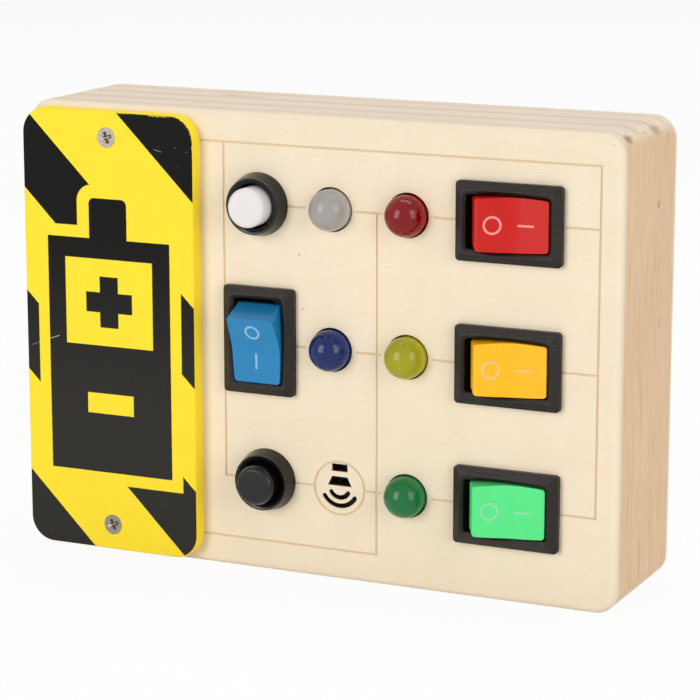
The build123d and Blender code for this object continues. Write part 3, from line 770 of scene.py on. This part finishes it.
def color_of(part, name):
    """A colour setting as a plain tuple."""
    return tuple(getattr(getattr(board(), part), f"{name}_color"))


def charcoal():
    color = color_of("plastic", "black")
    return plastic("charcoal_moulding", color, 0.34, 0.12 * MM, shine=0.27, grain_scale=2400.0)


def polished_black():
    color = color_of("plastic", "polished")
    return plastic("polished_black", color, 0.18, 0.002 * MM, shine=0.42)


@cache
def lens(color):
    """Coloured resin lens, deep in the dome, with a painted glow where it meets the panel that
    stands in for light shining through it.
    """
    tone = color_of("lamps", color)
    tree = Finish(f"{color}_lens")
    gloss = 0.06
    skin = tree.group(moulded_skin(), {"Vector": tree.place, "Color": tone, "Roughness": gloss})
    # Painted glow: the lens grows lighter towards the panel, as if lit through from within
    glow = tuple(min(1.0, part * 1.6 + 0.008) for part in tone)
    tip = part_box(f"{color}_lamp")[0].y
    painted_glow_share = tree.remap((tree.axes(tree.place)[1] - tip) / MM, 1.6, 5.0) * 0.7
    return tree.done(tree.mix(painted_glow_share, skin.outputs["Color"], glow), gloss, shine=0.29)


@cache
def metal(name, color, roughness):
    """Plated or drawn metal with fine rubbed marks."""
    tree = Finish(name)
    rub = tree.noise(tree.place, 1800.0, detail=3.0)
    dull = tree.remap(tree.noise(tree.place, 500.0), 0.35, 0.7, 0.0, 0.35)
    tone = tree.mix(dull, color, (0.3, 0.29, 0.28))
    rough = tree.remap(rub, 0.3, 0.7, roughness - 0.08, roughness + 0.1)
    return tree.done(tone, rough, rub, 0.01 * MM, metallic=1.0)


def zinc():
    return metal("zinc_plate", color_of("metal", "screw"), 0.32)


def brass():
    return metal("plated_brass", color_of("metal", "brass"), 0.3)


# ---- mesh work
def body_of(node):
    """The moving body that carries a CAD node."""
    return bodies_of(frame["nodes"][node])[0]


def to_mesh(shape, name):
    mesh = bpy.data.meshes.new(name)
    bmesh.ops.recalc_face_normals(shape, faces=shape.faces)
    shape.to_mesh(mesh)
    shape.free()
    return mesh


def linked(name, data):
    """A new object in the scene."""
    made = bpy.data.objects.new(name, data)
    bpy.context.scene.collection.objects.link(made)
    return made


def place_piece(name, shape, material, node, stands_in=True):
    """A piece with the body of a CAD node, which it replaces if it stands in."""
    piece = linked(name, to_mesh(shape, name))
    piece.data.materials.append(material)
    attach(piece, body_of(node))
    if stands_in:
        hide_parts(node)
    return piece


def dress(node, material):
    """Give a CAD node that stays its finished material."""
    mesh = frame["nodes"][node].data
    mesh.materials.clear()
    mesh.materials.append(material)


def welded_copy(node):
    """A CAD node's surface with its corners welded and its flat faces whole again."""
    shape = bmesh.new()
    shape.from_mesh(frame["nodes"][node].data)
    bmesh.ops.remove_doubles(shape, verts=shape.verts, dist=1e-6)
    bmesh.ops.dissolve_limit(
        shape, angle_limit=math.radians(0.4), verts=shape.verts, edges=shape.edges
    )
    return shape


def apply_modifier(piece, kind, **settings):
    """Run one modifier on a piece and make the result its own mesh."""
    modifier = piece.modifiers.new(kind.lower(), kind)
    for name, value in settings.items():
        setattr(modifier, name, value)
    graph = bpy.context.evaluated_depsgraph_get()
    finished = bpy.data.meshes.new_from_object(piece.evaluated_get(graph))
    piece.modifiers.clear()
    rough = piece.data
    piece.data = finished
    bpy.data.meshes.remove(rough)


def soften(piece, width, angle, segments=2):
    """Round the edges sharper than an angle a little."""
    apply_modifier(
        piece,
        "BEVEL",
        width=width,
        segments=segments,
        limit_method="ANGLE",
        angle_limit=math.radians(angle),
        use_clamp_overlap=True,
        harden_normals=True,
        miter_outer="MITER_ARC",
    )


def smooth_below(piece, angle):
    """Shade smoothly, with edges over the angle kept sharp."""
    piece.data.shade_smooth()
    piece.data.set_sharp_from_angle(angle=math.radians(angle))


def shade(piece, angle):
    """Shade smoothly, and let the largest face at each corner lead, so that flats stay flat."""
    smooth_below(piece, angle)
    apply_modifier(piece, "WEIGHTED_NORMAL", mode="FACE_AREA", weight=100, keep_sharp=True)


def cut_away(piece, cutter_shape):
    """Subtract a closed shape from a piece."""
    cutter = linked("cutter", to_mesh(cutter_shape, "cutter"))
    apply_modifier(
        piece, "BOOLEAN", operation="DIFFERENCE", object=cutter, solver="EXACT", use_self=True
    )
    mesh = cutter.data
    bpy.data.objects.remove(cutter)
    bpy.data.meshes.remove(mesh)


def finished_copy(node, material, width=0.0, angle=35.0):
    """A copy of a CAD node, which it replaces, with its edges softened by a width."""
    piece = place_piece(f"{node}_finish", welded_copy(node), material, node)
    smooth_below(piece, angle)
    if width:
        soften(piece, width, angle)
    shade(piece, angle)
    return piece


def turned(profile, centre, steps=96):
    """Revolve a profile of (radius, distance out of the face) about an axis along Y.

    A radius may be a function of the share of a turn.
    """
    shape = bmesh.new()
    rings = []
    for radius, out in profile:
        rings.append([])
        for i in range(steps if callable(radius) or radius > 1e-7 else 1):
            turn = 2 * math.pi * i / steps
            here = radius(i / steps) if callable(radius) else radius
            spot = Vector((here * math.cos(turn), -out, here * math.sin(turn)))
            rings[-1].append(shape.verts.new(Vector(centre) + spot))
    for near, far in zip(rings, rings[1:]):
        for i in range(steps):
            pairs = ((near, i), (near, i + 1), (far, i + 1), (far, i))
            corners = list(dict.fromkeys(ring[k % len(ring)] for ring, k in pairs))
            if len(corners) > 2:
                shape.faces.new(corners)
    return shape


def turned_band(profile, centre, steps):
    """Revolve an outline that stays clear of the axis and closes on itself."""
    shape = turned([*profile, profile[0]], centre, steps)
    bmesh.ops.remove_doubles(shape, verts=shape.verts, dist=1e-7)
    return shape


def arc(centre_r, centre_out, radius, start, end, steps):
    """Points of a profile's round stretch, in degrees from the radial direction."""
    turns = [math.radians(start + (end - start) * i / steps) for i in range(steps + 1)]
    return [(centre_r + radius * math.cos(t), centre_out + radius * math.sin(t)) for t in turns]


def in_mm(*points):
    """A profile given in millimetres."""
    return tuple((radius * MM, out * MM) for radius, out in points)


def eased(profile, width, steps=4):
    """A profile with each of its corners rounded by up to a width on either side."""
    points = [Vector(point) for point in profile]
    result = [points[0]]
    for before, corner, after in zip(points, points[1:], points[2:]):
        back, ahead = before - corner, after - corner
        start = corner + back.normalized() * min(width, back.length * 0.4)
        end = corner + ahead.normalized() * min(width, ahead.length * 0.4)
        for i in range(steps + 1):
            t = i / steps
            result.append(start * (1 - t) ** 2 + corner * (2 * t * (1 - t)) + end * t * t)
    return [*result, points[-1]]


def turned_piece(node, material, profile, width=0.1 * MM):
    """A turned piece on the axis of a CAD node, which it replaces."""
    centre = middle(node)
    centre.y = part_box("front_panel")[0].y
    shape = turned(eased(profile, width), centre)
    shade(place_piece(f"{node}_finish", shape, material, node), 50.0)


def bar(shape, low, high):
    """Add a closed box between two corners."""
    low, high = Vector(low), Vector(high)
    for vertex in bmesh.ops.create_cube(shape, size=1.0)["verts"]:
        vertex.co = (low + high) / 2 + Vector(a * b for a, b in zip(vertex.co, high - low))


# ---- case
# Controls of each row from left to right, with the lamp that sets the row's height
GROOVE_ROWS = (
    ("white_button_housing", "grey_lamp", "red_lamp", "red_switch_housing", "right"),
    ("blue_switch_housing", "blue_lamp", "olive_lamp", "amber_switch_housing", "right"),
    ("left", "black_button_housing", "buzzer", "green_lamp", "green_switch_housing", "right"),
)
ROW_LAMPS = ("grey_lamp", "blue_lamp", "green_lamp")


def groove_runs():
    """Start and end (x, z) of every engraved line on the face."""
    wood = board().wood
    left, centre, right = -18.86 * MM, 13.4 * MM, 57.7 * MM
    top, bottom = 84.02 * MM, 6.06 * MM
    under_cover, flange_past_hole = 1.0 * MM, 0.4 * MM
    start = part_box("battery_cover")[1].x - under_cover
    high_row, _, low_row = heights = [middle(lamp).z for lamp in ROW_LAMPS]
    runs = [
        ((start, top), (right, top)),
        ((left, top), (left, low_row)),
        ((centre, high_row), (centre, bottom)),
        ((start, bottom), (centre, bottom)),
        ((right, top), (right, low_row)),
    ]

    def span(node):
        """Where the lines beside a control leave off."""
        if node in ("left", "right"):
            return (left, left) if node == "left" else (right, right)
        low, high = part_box(node)
        if node == "buzzer":
            reach = wood.sounder_ring_radius
            return middle(node).x - reach, middle(node).x + reach
        reach = wood.lamp_clearance - flange_past_hole if node.endswith("lamp") else 0.0
        return low.x - reach, high.x + reach

    for row, z in zip(GROOVE_ROWS, heights):
        for before, after in zip(row, row[1:]):
            runs.append(((span(before)[1], z), (span(after)[0], z)))
    return runs


def groove_cutters():
    """Closed bars along every engraved line, then the ring round the sound slots."""
    wood = board().wood
    half, out, deep = wood.groove_width / 2, 0.5 * MM, -wood.groove_depth
    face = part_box("front_panel")[0].y
    bars = bmesh.new()
    for (x_a, z_a), (x_b, z_b) in groove_runs():
        low = (min(x_a, x_b) - half, face - out, min(z_a, z_b) - half)
        high = (max(x_a, x_b) + half, face - deep, max(z_a, z_b) + half)
        bar(bars, low, high)
    inner, outer = wood.sounder_ring_radius - half, wood.sounder_ring_radius + half
    centre = middle("buzzer")
    centre.y = face
    outline = [(inner, deep), (inner, out), (outer, out), (outer, deep)]
    return bars, turned_band(outline, centre, steps=72)


class BOARD_OT_front_panel(bpy.types.Operator):
    """Finish the plywood face and engrave its circuit lines"""

    bl_idname = "busy_board.front_panel"
    bl_label = "Front Panel"

    def execute(self, context):
        node = "front_panel"
        piece = place_piece(f"{node}_finish", welded_copy(node), plywood(node), node)
        for cutter in groove_cutters():
            cut_away(piece, cutter)
        shade(piece, 30.0)
        return {"FINISHED"}


class BOARD_OT_frame_rails(bpy.types.Operator):
    """Finish the four mitred pine rails"""

    bl_idname = "busy_board.frame_rails"
    bl_label = "Frame Rails"

    def execute(self, context):
        for side, axis in (("top", "X"), ("bottom", "X"), ("left", "Z"), ("right", "Z")):
            finished_copy(f"{side}_rail", pine(axis), board().wood.edge_softening)
        return {"FINISHED"}


class BOARD_OT_back_panel(bpy.types.Operator):
    """Finish the plywood back"""

    bl_idname = "busy_board.back_panel"
    bl_label = "Back Panel"

    def execute(self, context):
        finished_copy("back_panel", plywood("back_panel"), board().wood.edge_softening)
        return {"FINISHED"}


# ---- battery bay
class BOARD_OT_battery_cover(bpy.types.Operator):
    """Finish and print the battery cover"""

    bl_idname = "busy_board.battery_cover"
    bl_label = "Battery Cover"

    def execute(self, context):
        finished_copy("battery_cover", printed_plate())
        return {"FINISHED"}


SCREW_HEAD = 2.0 * MM
# Corners of a cross recess's wedge at two levels: level, half length and half width
RECESS_LEVELS = ((0.1 * MM, 1.3 * MM, 0.42 * MM), (-0.55 * MM, 0.62 * MM, 0.1 * MM))


def screw(centre):
    """A countersunk screw, point into the case: flat head, cone, helical thread and tip."""
    shank, root, rim = 1.1 * MM, 0.82 * MM, 0.06 * MM
    cone_end, end, pitch, tip = -0.95 * MM, -12.0 * MM, 0.85 * MM, 2.4 * MM
    rows_per_turn = 10
    rows = int((cone_end - end) / pitch * rows_per_turn)

    def thread(row):
        """A row of the thread, which rises gently from the cone and narrows in the tip."""
        out = cone_end + (end - cone_end) * row / rows
        taper = min(1.0, (out - end) / tip)
        start = min(1.0, row / rows_per_turn)

        def radius(share):
            wave = abs((row / rows_per_turn - share) % 1.0 * 2.0 - 1.0)
            crest = max(0.0, (wave - 0.55) / 0.45)
            return taper * (root + (shank - root) * (crest * start + 1.0 - start))

        return radius, out

    head = ((0.0, 0.0), (SCREW_HEAD - rim, 0.0), (SCREW_HEAD, -rim), (shank, cone_end))
    return turned([*head, *map(thread, range(1, rows)), (0.0, end)], centre, steps=48)


def cross_recess(centre, turn):
    """Two crossed wedges that narrow to a blunt point, to cut a screw's drive."""
    shape = bmesh.new()
    for way in (turn, turn + math.pi / 2):
        along = Vector((math.cos(way), 0.0, math.sin(way)))
        across = Vector((-math.sin(way), 0.0, math.cos(way)))
        rings = []
        for level, length, width in RECESS_LEVELS:
            corners = ((length, width), (-length, width), (-length, -width), (length, -width))
            spots = (along * a + across * b + OUTWARD * level for a, b in corners)
            rings.append([shape.verts.new(Vector(centre) + spot) for spot in spots])
        top, low = rings
        shape.faces.new(top)
        shape.faces.new(low[::-1])
        for i in range(4):
            j = (i + 1) % 4
            shape.faces.new((top[j], top[i], low[i], low[j]))
    return shape


class BOARD_OT_cover_screws(bpy.types.Operator):
    """Turn the two cover screws and cut their cross recesses"""

    bl_idname = "busy_board.cover_screws"
    bl_label = "Cover Screws"

    def execute(self, context):
        node = "battery_cover_screws"
        low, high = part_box(node)
        screws = (("low", low.z + SCREW_HEAD, 0.42), ("high", high.z - SCREW_HEAD, 0.3))
        for name, z, turn in screws:
            centre = ((low.x + high.x) / 2, low.y, z)
            piece = place_piece(f"cover_screw_{name}", screw(centre), zinc(), node)
            cut_away(piece, cross_recess(centre, turn))
            shade(piece, 30.0)
        return {"FINISHED"}


class BOARD_OT_battery_bay(bpy.types.Operator):
    """Finish the holder, the cells and their contacts"""

    bl_idname = "busy_board.battery_bay"
    bl_label = "Battery Bay"

    def execute(self, context):
        jacket = plastic("cell_jacket", color_of("metal", "jacket"), 0.3, 0.005 * MM)
        dress("battery_holder", charcoal())
        for node in ("battery_cell_left", "battery_cell_right"):
            dress(node, jacket)
        for node in ("battery_contacts", "battery_springs"):
            dress(node, zinc())
        return {"FINISHED"}


# ---- rocker switches
# Shape of a rocker at rest: its tilt, the slope of its halves and the height of their crease
ROCKER_TILT, ROCKER_SLOPE = math.radians(14.5), math.radians(11.6)
ROCKER_CREASE = 4.85 * MM
# How far the marks stand out of the rocker and reach into it
MARK_HEIGHT, MARK_ROOT = 0.04 * MM, -0.06 * MM
BLUE_RING_SCALE = 0.9


def joint_named(name):
    return next(joint for joint in frame["record"]["behaviour"]["joints"] if joint["name"] == name)


def rocker_pivot(color):
    """A rocker's pivot and the direction from it to the bar's end, along the face."""
    lengthwise = (0.0, 0.0, -1.0) if color == "blue" else (1.0, 0.0, 0.0)
    return Vector(joint_named(f"{color}_rocker_tilt")["pos_m"]), Vector(lengthwise)


def make_rocker(color, width):
    """A rocker whose two halves meet in a wide soft hollow."""
    node = f"{color}_rocker"
    pivot, lengthwise = rocker_pivot(color)
    along = lengthwise * math.cos(ROCKER_TILT) - OUTWARD * math.sin(ROCKER_TILT)
    up = OUTWARD * math.cos(ROCKER_TILT) + lengthwise * math.sin(ROCKER_TILT)
    radius = board().plastic.crease_radius
    reach = radius * math.sin(ROCKER_SLOPE)
    shape = welded_copy(node)
    cuts = 14
    for i in range(cuts + 1):
        place = pivot + along * (reach * (2 * i / cuts - 1))
        geometry = shape.verts[:] + shape.edges[:] + shape.faces[:]
        bmesh.ops.bisect_plane(shape, geom=geometry, dist=1e-7, plane_co=place, plane_no=along)
    for vertex in shape.verts:
        away = vertex.co - pivot
        u, height = away.dot(along), away.dot(up)
        top = ROCKER_CREASE + abs(u) * math.tan(ROCKER_SLOPE)
        if abs(u) <= reach + 1e-6 and height > top - 0.1 * MM:
            middle_height = ROCKER_CREASE + radius / math.cos(ROCKER_SLOPE)
            vertex.co += up * (middle_height - math.sqrt(radius**2 - u * u) - height)
    tone = color_of("plastic", color)
    moulding = plastic(f"{color}_moulding", tone, 0.33, 0.006 * MM, shine=0.32)
    piece = place_piece(f"{node}_finish", shape, moulding, node)
    soften(piece, width, 35.0, segments=3)
    shade(piece, 35.0)


def seat_on_rocker(shape, color, distance):
    """Move a shape built round the origin, facing -Y, onto a rocker along its lever."""
    pivot, lengthwise = rocker_pivot(color)
    rocker = welded_copy(f"{color}_rocker")
    surface = BVHTree.FromBMesh(rocker)
    rocker.free()
    from_front = pivot + lengthwise * distance + OUTWARD * (30 * MM)
    spot, normal = surface.ray_cast(from_front, -OUTWARD)[:2]
    if spot is None:
        raise RuntimeError(f"no face under the mark on the {color} rocker")
    turn = OUTWARD.rotation_difference(normal).to_matrix().to_4x4()
    bmesh.ops.transform(shape, matrix=Matrix.Translation(spot) @ turn, verts=shape.verts)


def ring_mark(color):
    settings = board().plastic
    radius = settings.ring_diameter / 2 * (BLUE_RING_SCALE if color == "blue" else 1.0)
    stroke = settings.mark_stroke
    outline = [
        (radius - stroke, MARK_ROOT),
        (radius - stroke, MARK_HEIGHT * 0.6),
        (radius - stroke * 0.8, MARK_HEIGHT),
        (radius - stroke * 0.2, MARK_HEIGHT),
        (radius, MARK_HEIGHT * 0.6),
        (radius, MARK_ROOT),
    ]
    return turned_band(outline, (0.0, 0.0, 0.0), steps=64)


def bar_mark(color):
    settings = board().plastic
    shape = bmesh.new()
    x, z = settings.bar_length / 2, settings.mark_stroke / 2
    if color == "blue":
        x, z = z, x
    bar(shape, (-x, -MARK_HEIGHT, -z), (x, -MARK_ROOT, z))
    raised = [edge for edge in shape.edges if all(end.co.y < 0.0 for end in edge.verts)]
    bmesh.ops.bevel(shape, geom=raised, offset=MARK_HEIGHT * 0.5, segments=2, affect="EDGES")
    return shape


class BOARD_OT_rocker_switches(bpy.types.Operator):
    """Finish the switch housings, the rockers and their marks"""

    bl_idname = "busy_board.rocker_switches"
    bl_label = "Rocker Switches"

    def execute(self, context):
        settings = board().plastic
        places = {"ring": settings.ring_place, "bar": settings.bar_place}
        for color in SWITCHES:
            housing, rocker = f"{color}_switch_housing", f"{color}_rocker"
            finished_copy(housing, charcoal(), settings.bezel_softening, angle=20.0)
            make_rocker(color, settings.edge_softening)
            mark_color = color_of("plastic", f"{color}_mark")
            marks = plastic(f"{color}_mark", mark_color, 0.45, 0.002 * MM)
            for name, shape in (("ring", ring_mark(color)), ("bar", bar_mark(color))):
                seat_on_rocker(shape, color, places[name])
                smooth_below(place_piece(f"{rocker}_{name}", shape, marks, rocker, False), 40.0)
            for part in ("terminals", "contact", "plunger"):
                dress(f"{color}_switch_{part}", brass())
        return {"FINISHED"}


# ---- buttons, lamps, sounder
# Profiles, as radius and distance out of the face
COLLAR_BORE = ((0.0, -14.7), (2.9, -14.7), (2.9, -11.0), (1.65, -11.0), (1.65, -6.4), (4.35, -6.4))
COLLAR_FLANGE = ((4.35, 2.6), (5.2, 3.0), (5.5, 3.0), (6.2, 0.0), (5.0, 0.0))
COLLAR_BUSH = ((5.0, -9.5), (4.6, -9.5), (4.6, -15.5), (0.0, -15.5))
COLLAR = in_mm(*COLLAR_BORE, *COLLAR_FLANGE, *COLLAR_BUSH)
STEM = ((1.6, -0.6), (1.6, -11.05), (2.3, -11.05), (1.6, -12.25), (0.0, -12.25))
WHITE_TOP = ((0.0, 6.15), *reversed(arc(2.8, 5.15, 1.0, 0.0, 90.0, 10)), (3.8, -0.6))
BLACK_TOP = ((0.0, 6.2), (3.15, 6.2), (3.6, 5.85), (3.9, 5.1), (3.9, -0.6))
DOME = tuple(reversed(arc(0.0, 0.9, 4.0, 0.0, 90.0, 28)))
LENS = in_mm(*DOME, (4.0, -3.0), (4.7, -3.0), (4.7, -4.6), (0.0, -4.6))


class BOARD_OT_push_buttons(bpy.types.Operator):
    """Finish the push buttons with their caps, nuts, springs and lugs"""

    bl_idname = "busy_board.push_buttons"
    bl_label = "Push Buttons"

    def execute(self, context):
        white = plastic("white_moulding", color_of("plastic", "white"), 0.35, 0.004 * MM)
        caps = {"white": (white, WHITE_TOP), "black": (polished_black(), BLACK_TOP)}
        for color in BUTTONS:
            material, top = caps[color]
            turned_piece(f"{color}_button_housing", polished_black(), COLLAR, 0.08 * MM)
            turned_piece(f"{color}_button_cap", material, in_mm(*top, *STEM))
            dress(f"{color}_button_nut", charcoal())
            self.coil(color)
            dress(f"{color}_button_lugs", brass())
        return {"FINISHED"}

    def coil(self, color):
        """The return spring, as a finished copy with a mesh of its own."""
        node = f"{color}_button_spring"
        piece = finished_copy(node, zinc())
        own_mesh(piece)


class BOARD_OT_lamps(bpy.types.Operator):
    """Turn the five lamp lenses and dress their leads"""

    bl_idname = "busy_board.lamps"
    bl_label = "Lamps"

    def execute(self, context):
        for color in LAMPS:
            turned_piece(f"{color}_lamp", lens(color), LENS, 0.02 * MM)
        dress("lamp_leads", zinc())
        return {"FINISHED"}


class BOARD_OT_sounder(bpy.types.Operator):
    """Finish the sounder behind its slots"""

    bl_idname = "busy_board.sounder"
    bl_label = "Sounder"

    def execute(self, context):
        dress("buzzer", charcoal())
        dress("buzzer_pins", zinc())
        return {"FINISHED"}


# ---- stage
FLOOR_SIZE, FLOOR_DROP = 6.0, 0.2 * MM
FLOOR_GLOW = 0.93
# Direction of each softbox from the board, then its distance, width and height in metres
SOFTBOXES = {
    "key": ((-0.416, -0.872, 0.263), 1.0, 0.5, 0.76),
    "side": ((0.84, -0.452, 0.298), 1.0, 0.4, 0.8),
    "rim": ((0.98, 0.1, 0.15), 1.0, 0.9, 0.9),
    "top": ((0.0, 0.3, 1.0), 1.2, 1.0, 0.7),
}


def seen_directly(tree):
    """One for rays that show the background: from the camera, a reflection or through glass."""
    path = tree.add("ShaderNodeLightPath")
    rays = ("Is Camera Ray", "Is Glossy Ray", "Is Transmission Ray")
    camera, glossy, through = (tree.field(path, ray) for ray in rays)
    return camera.most(glossy).most(through)


def make_floor(stage):
    """A matte floor that takes shadows and looks white."""
    bpy.ops.mesh.primitive_plane_add(size=FLOOR_SIZE, location=(0.0, 0.0, -FLOOR_DROP))
    floor = bpy.context.object
    floor.name = "floor"
    material = bpy.data.materials.new("pale_floor")
    tree = Tree(cleared_tree(material))
    color = rgba(stage.floor_color)
    matte = tree.add("ShaderNodeBsdfDiffuse", {"Color": color})
    glow = tree.add("ShaderNodeEmission", {"Color": color, "Strength": 1.0})
    inputs = (seen_directly(tree) * FLOOR_GLOW, matte.outputs[0], glow.outputs[0])
    both = tree.add("ShaderNodeMixShader", inputs)
    tree.add("ShaderNodeOutputMaterial", {"Surface": both.outputs[0]})
    floor.data.materials.append(material)


def make_softbox(name, power):
    """An area light that faces the board."""
    toward, distance, width, height = SOFTBOXES[name]
    light = bpy.data.lights.new(f"{name}_softbox", "AREA")
    light.shape = "RECTANGLE"
    light.size = width
    light.size_y = height
    light.energy = power
    toward = Vector(toward).normalized()
    softbox = linked(light.name, light)
    softbox.location = middle("front_panel") + toward * distance
    softbox.rotation_euler = (-toward).to_track_quat("-Z", "Y").to_euler()


def make_room(scene, stage):
    """Even light all round, white where it is seen."""
    scene.world = bpy.data.worlds.new("studio")
    tree = Tree(cleared_tree(scene.world))
    strength = seen_directly(tree) * (1.0 - stage.room_light) + stage.room_light
    glow = tree.add("ShaderNodeBackground", {"Color": (1, 1, 1, 1), "Strength": strength})
    tree.add("ShaderNodeOutputWorld", {"Surface": glow.outputs[0]})


def make_camera(scene, stage):
    camera = linked("camera", bpy.data.cameras.new("camera"))
    camera.data.lens = stage.lens
    camera.data.sensor_width = 36.0
    camera.data.clip_start = 0.01
    camera.location = stage.camera_place
    ahead = Vector(stage.camera_target) - Vector(stage.camera_place)
    camera.rotation_euler = ahead.to_track_quat("-Z", "Y").to_euler()
    scene.camera = camera


class BOARD_OT_stage(bpy.types.Operator):
    """Set the pale floor, the soft studio light and the camera"""

    bl_idname = "busy_board.stage"
    bl_label = "Stage"

    def execute(self, context):
        stage = board().stage
        make_floor(stage)
        for name in SOFTBOXES:
            make_softbox(name, getattr(stage, f"{name}_power"))
        make_room(context.scene, stage)
        make_camera(context.scene, stage)
        context.scene.view_settings.view_transform = "Standard"
        return {"FINISHED"}


# ---- add-on
OPERATORS = (
    BOARD_OT_front_panel,
    BOARD_OT_frame_rails,
    BOARD_OT_back_panel,
    BOARD_OT_battery_cover,
    BOARD_OT_cover_screws,
    BOARD_OT_battery_bay,
    BOARD_OT_rocker_switches,
    BOARD_OT_push_buttons,
    BOARD_OT_lamps,
    BOARD_OT_sounder,
    BOARD_OT_stage,
)


class BOARD_PT_sidebar(bpy.types.Panel):
    """Lists the board's pieces and their settings"""

    bl_idname = "BOARD_PT_sidebar"
    bl_label = "Busy Board"
    bl_space_type = "VIEW_3D"
    bl_region_type = "UI"
    bl_category = "Busy Board"

    def draw(self, context):
        layout = self.layout
        for operator in OPERATORS:
            layout.operator(operator.bl_idname)
        settings = context.scene.busy_board
        for part in ("wood", "cover", "plastic", "lamps", "metal", "stage"):
            box = layout.box()
            box.label(text=part.capitalize())
            group = getattr(settings, part)
            for name in group.bl_rna.properties.keys():
                if name not in ("rna_type", "name"):
                    box.prop(group, name)


CLASSES = (
    BoardWoodSettings,
    BoardCoverSettings,
    BoardPlasticSettings,
    BoardLampSettings,
    BoardMetalSettings,
    BoardStageSettings,
    BoardSettings,
    *OPERATORS,
    BOARD_PT_sidebar,
)


def register():
    for each in CLASSES:
        bpy.utils.register_class(each)
    bpy.types.Scene.busy_board = PointerProperty(type=BoardSettings)


def unregister():
    del bpy.types.Scene.busy_board
    for each in reversed(CLASSES):
        bpy.utils.unregister_class(each)


def main():
    register()
    for operator in OPERATORS:
        group, name = operator.bl_idname.split(".")
        getattr(getattr(bpy.ops, group), name)()


if __name__ == "__main__":
    main()
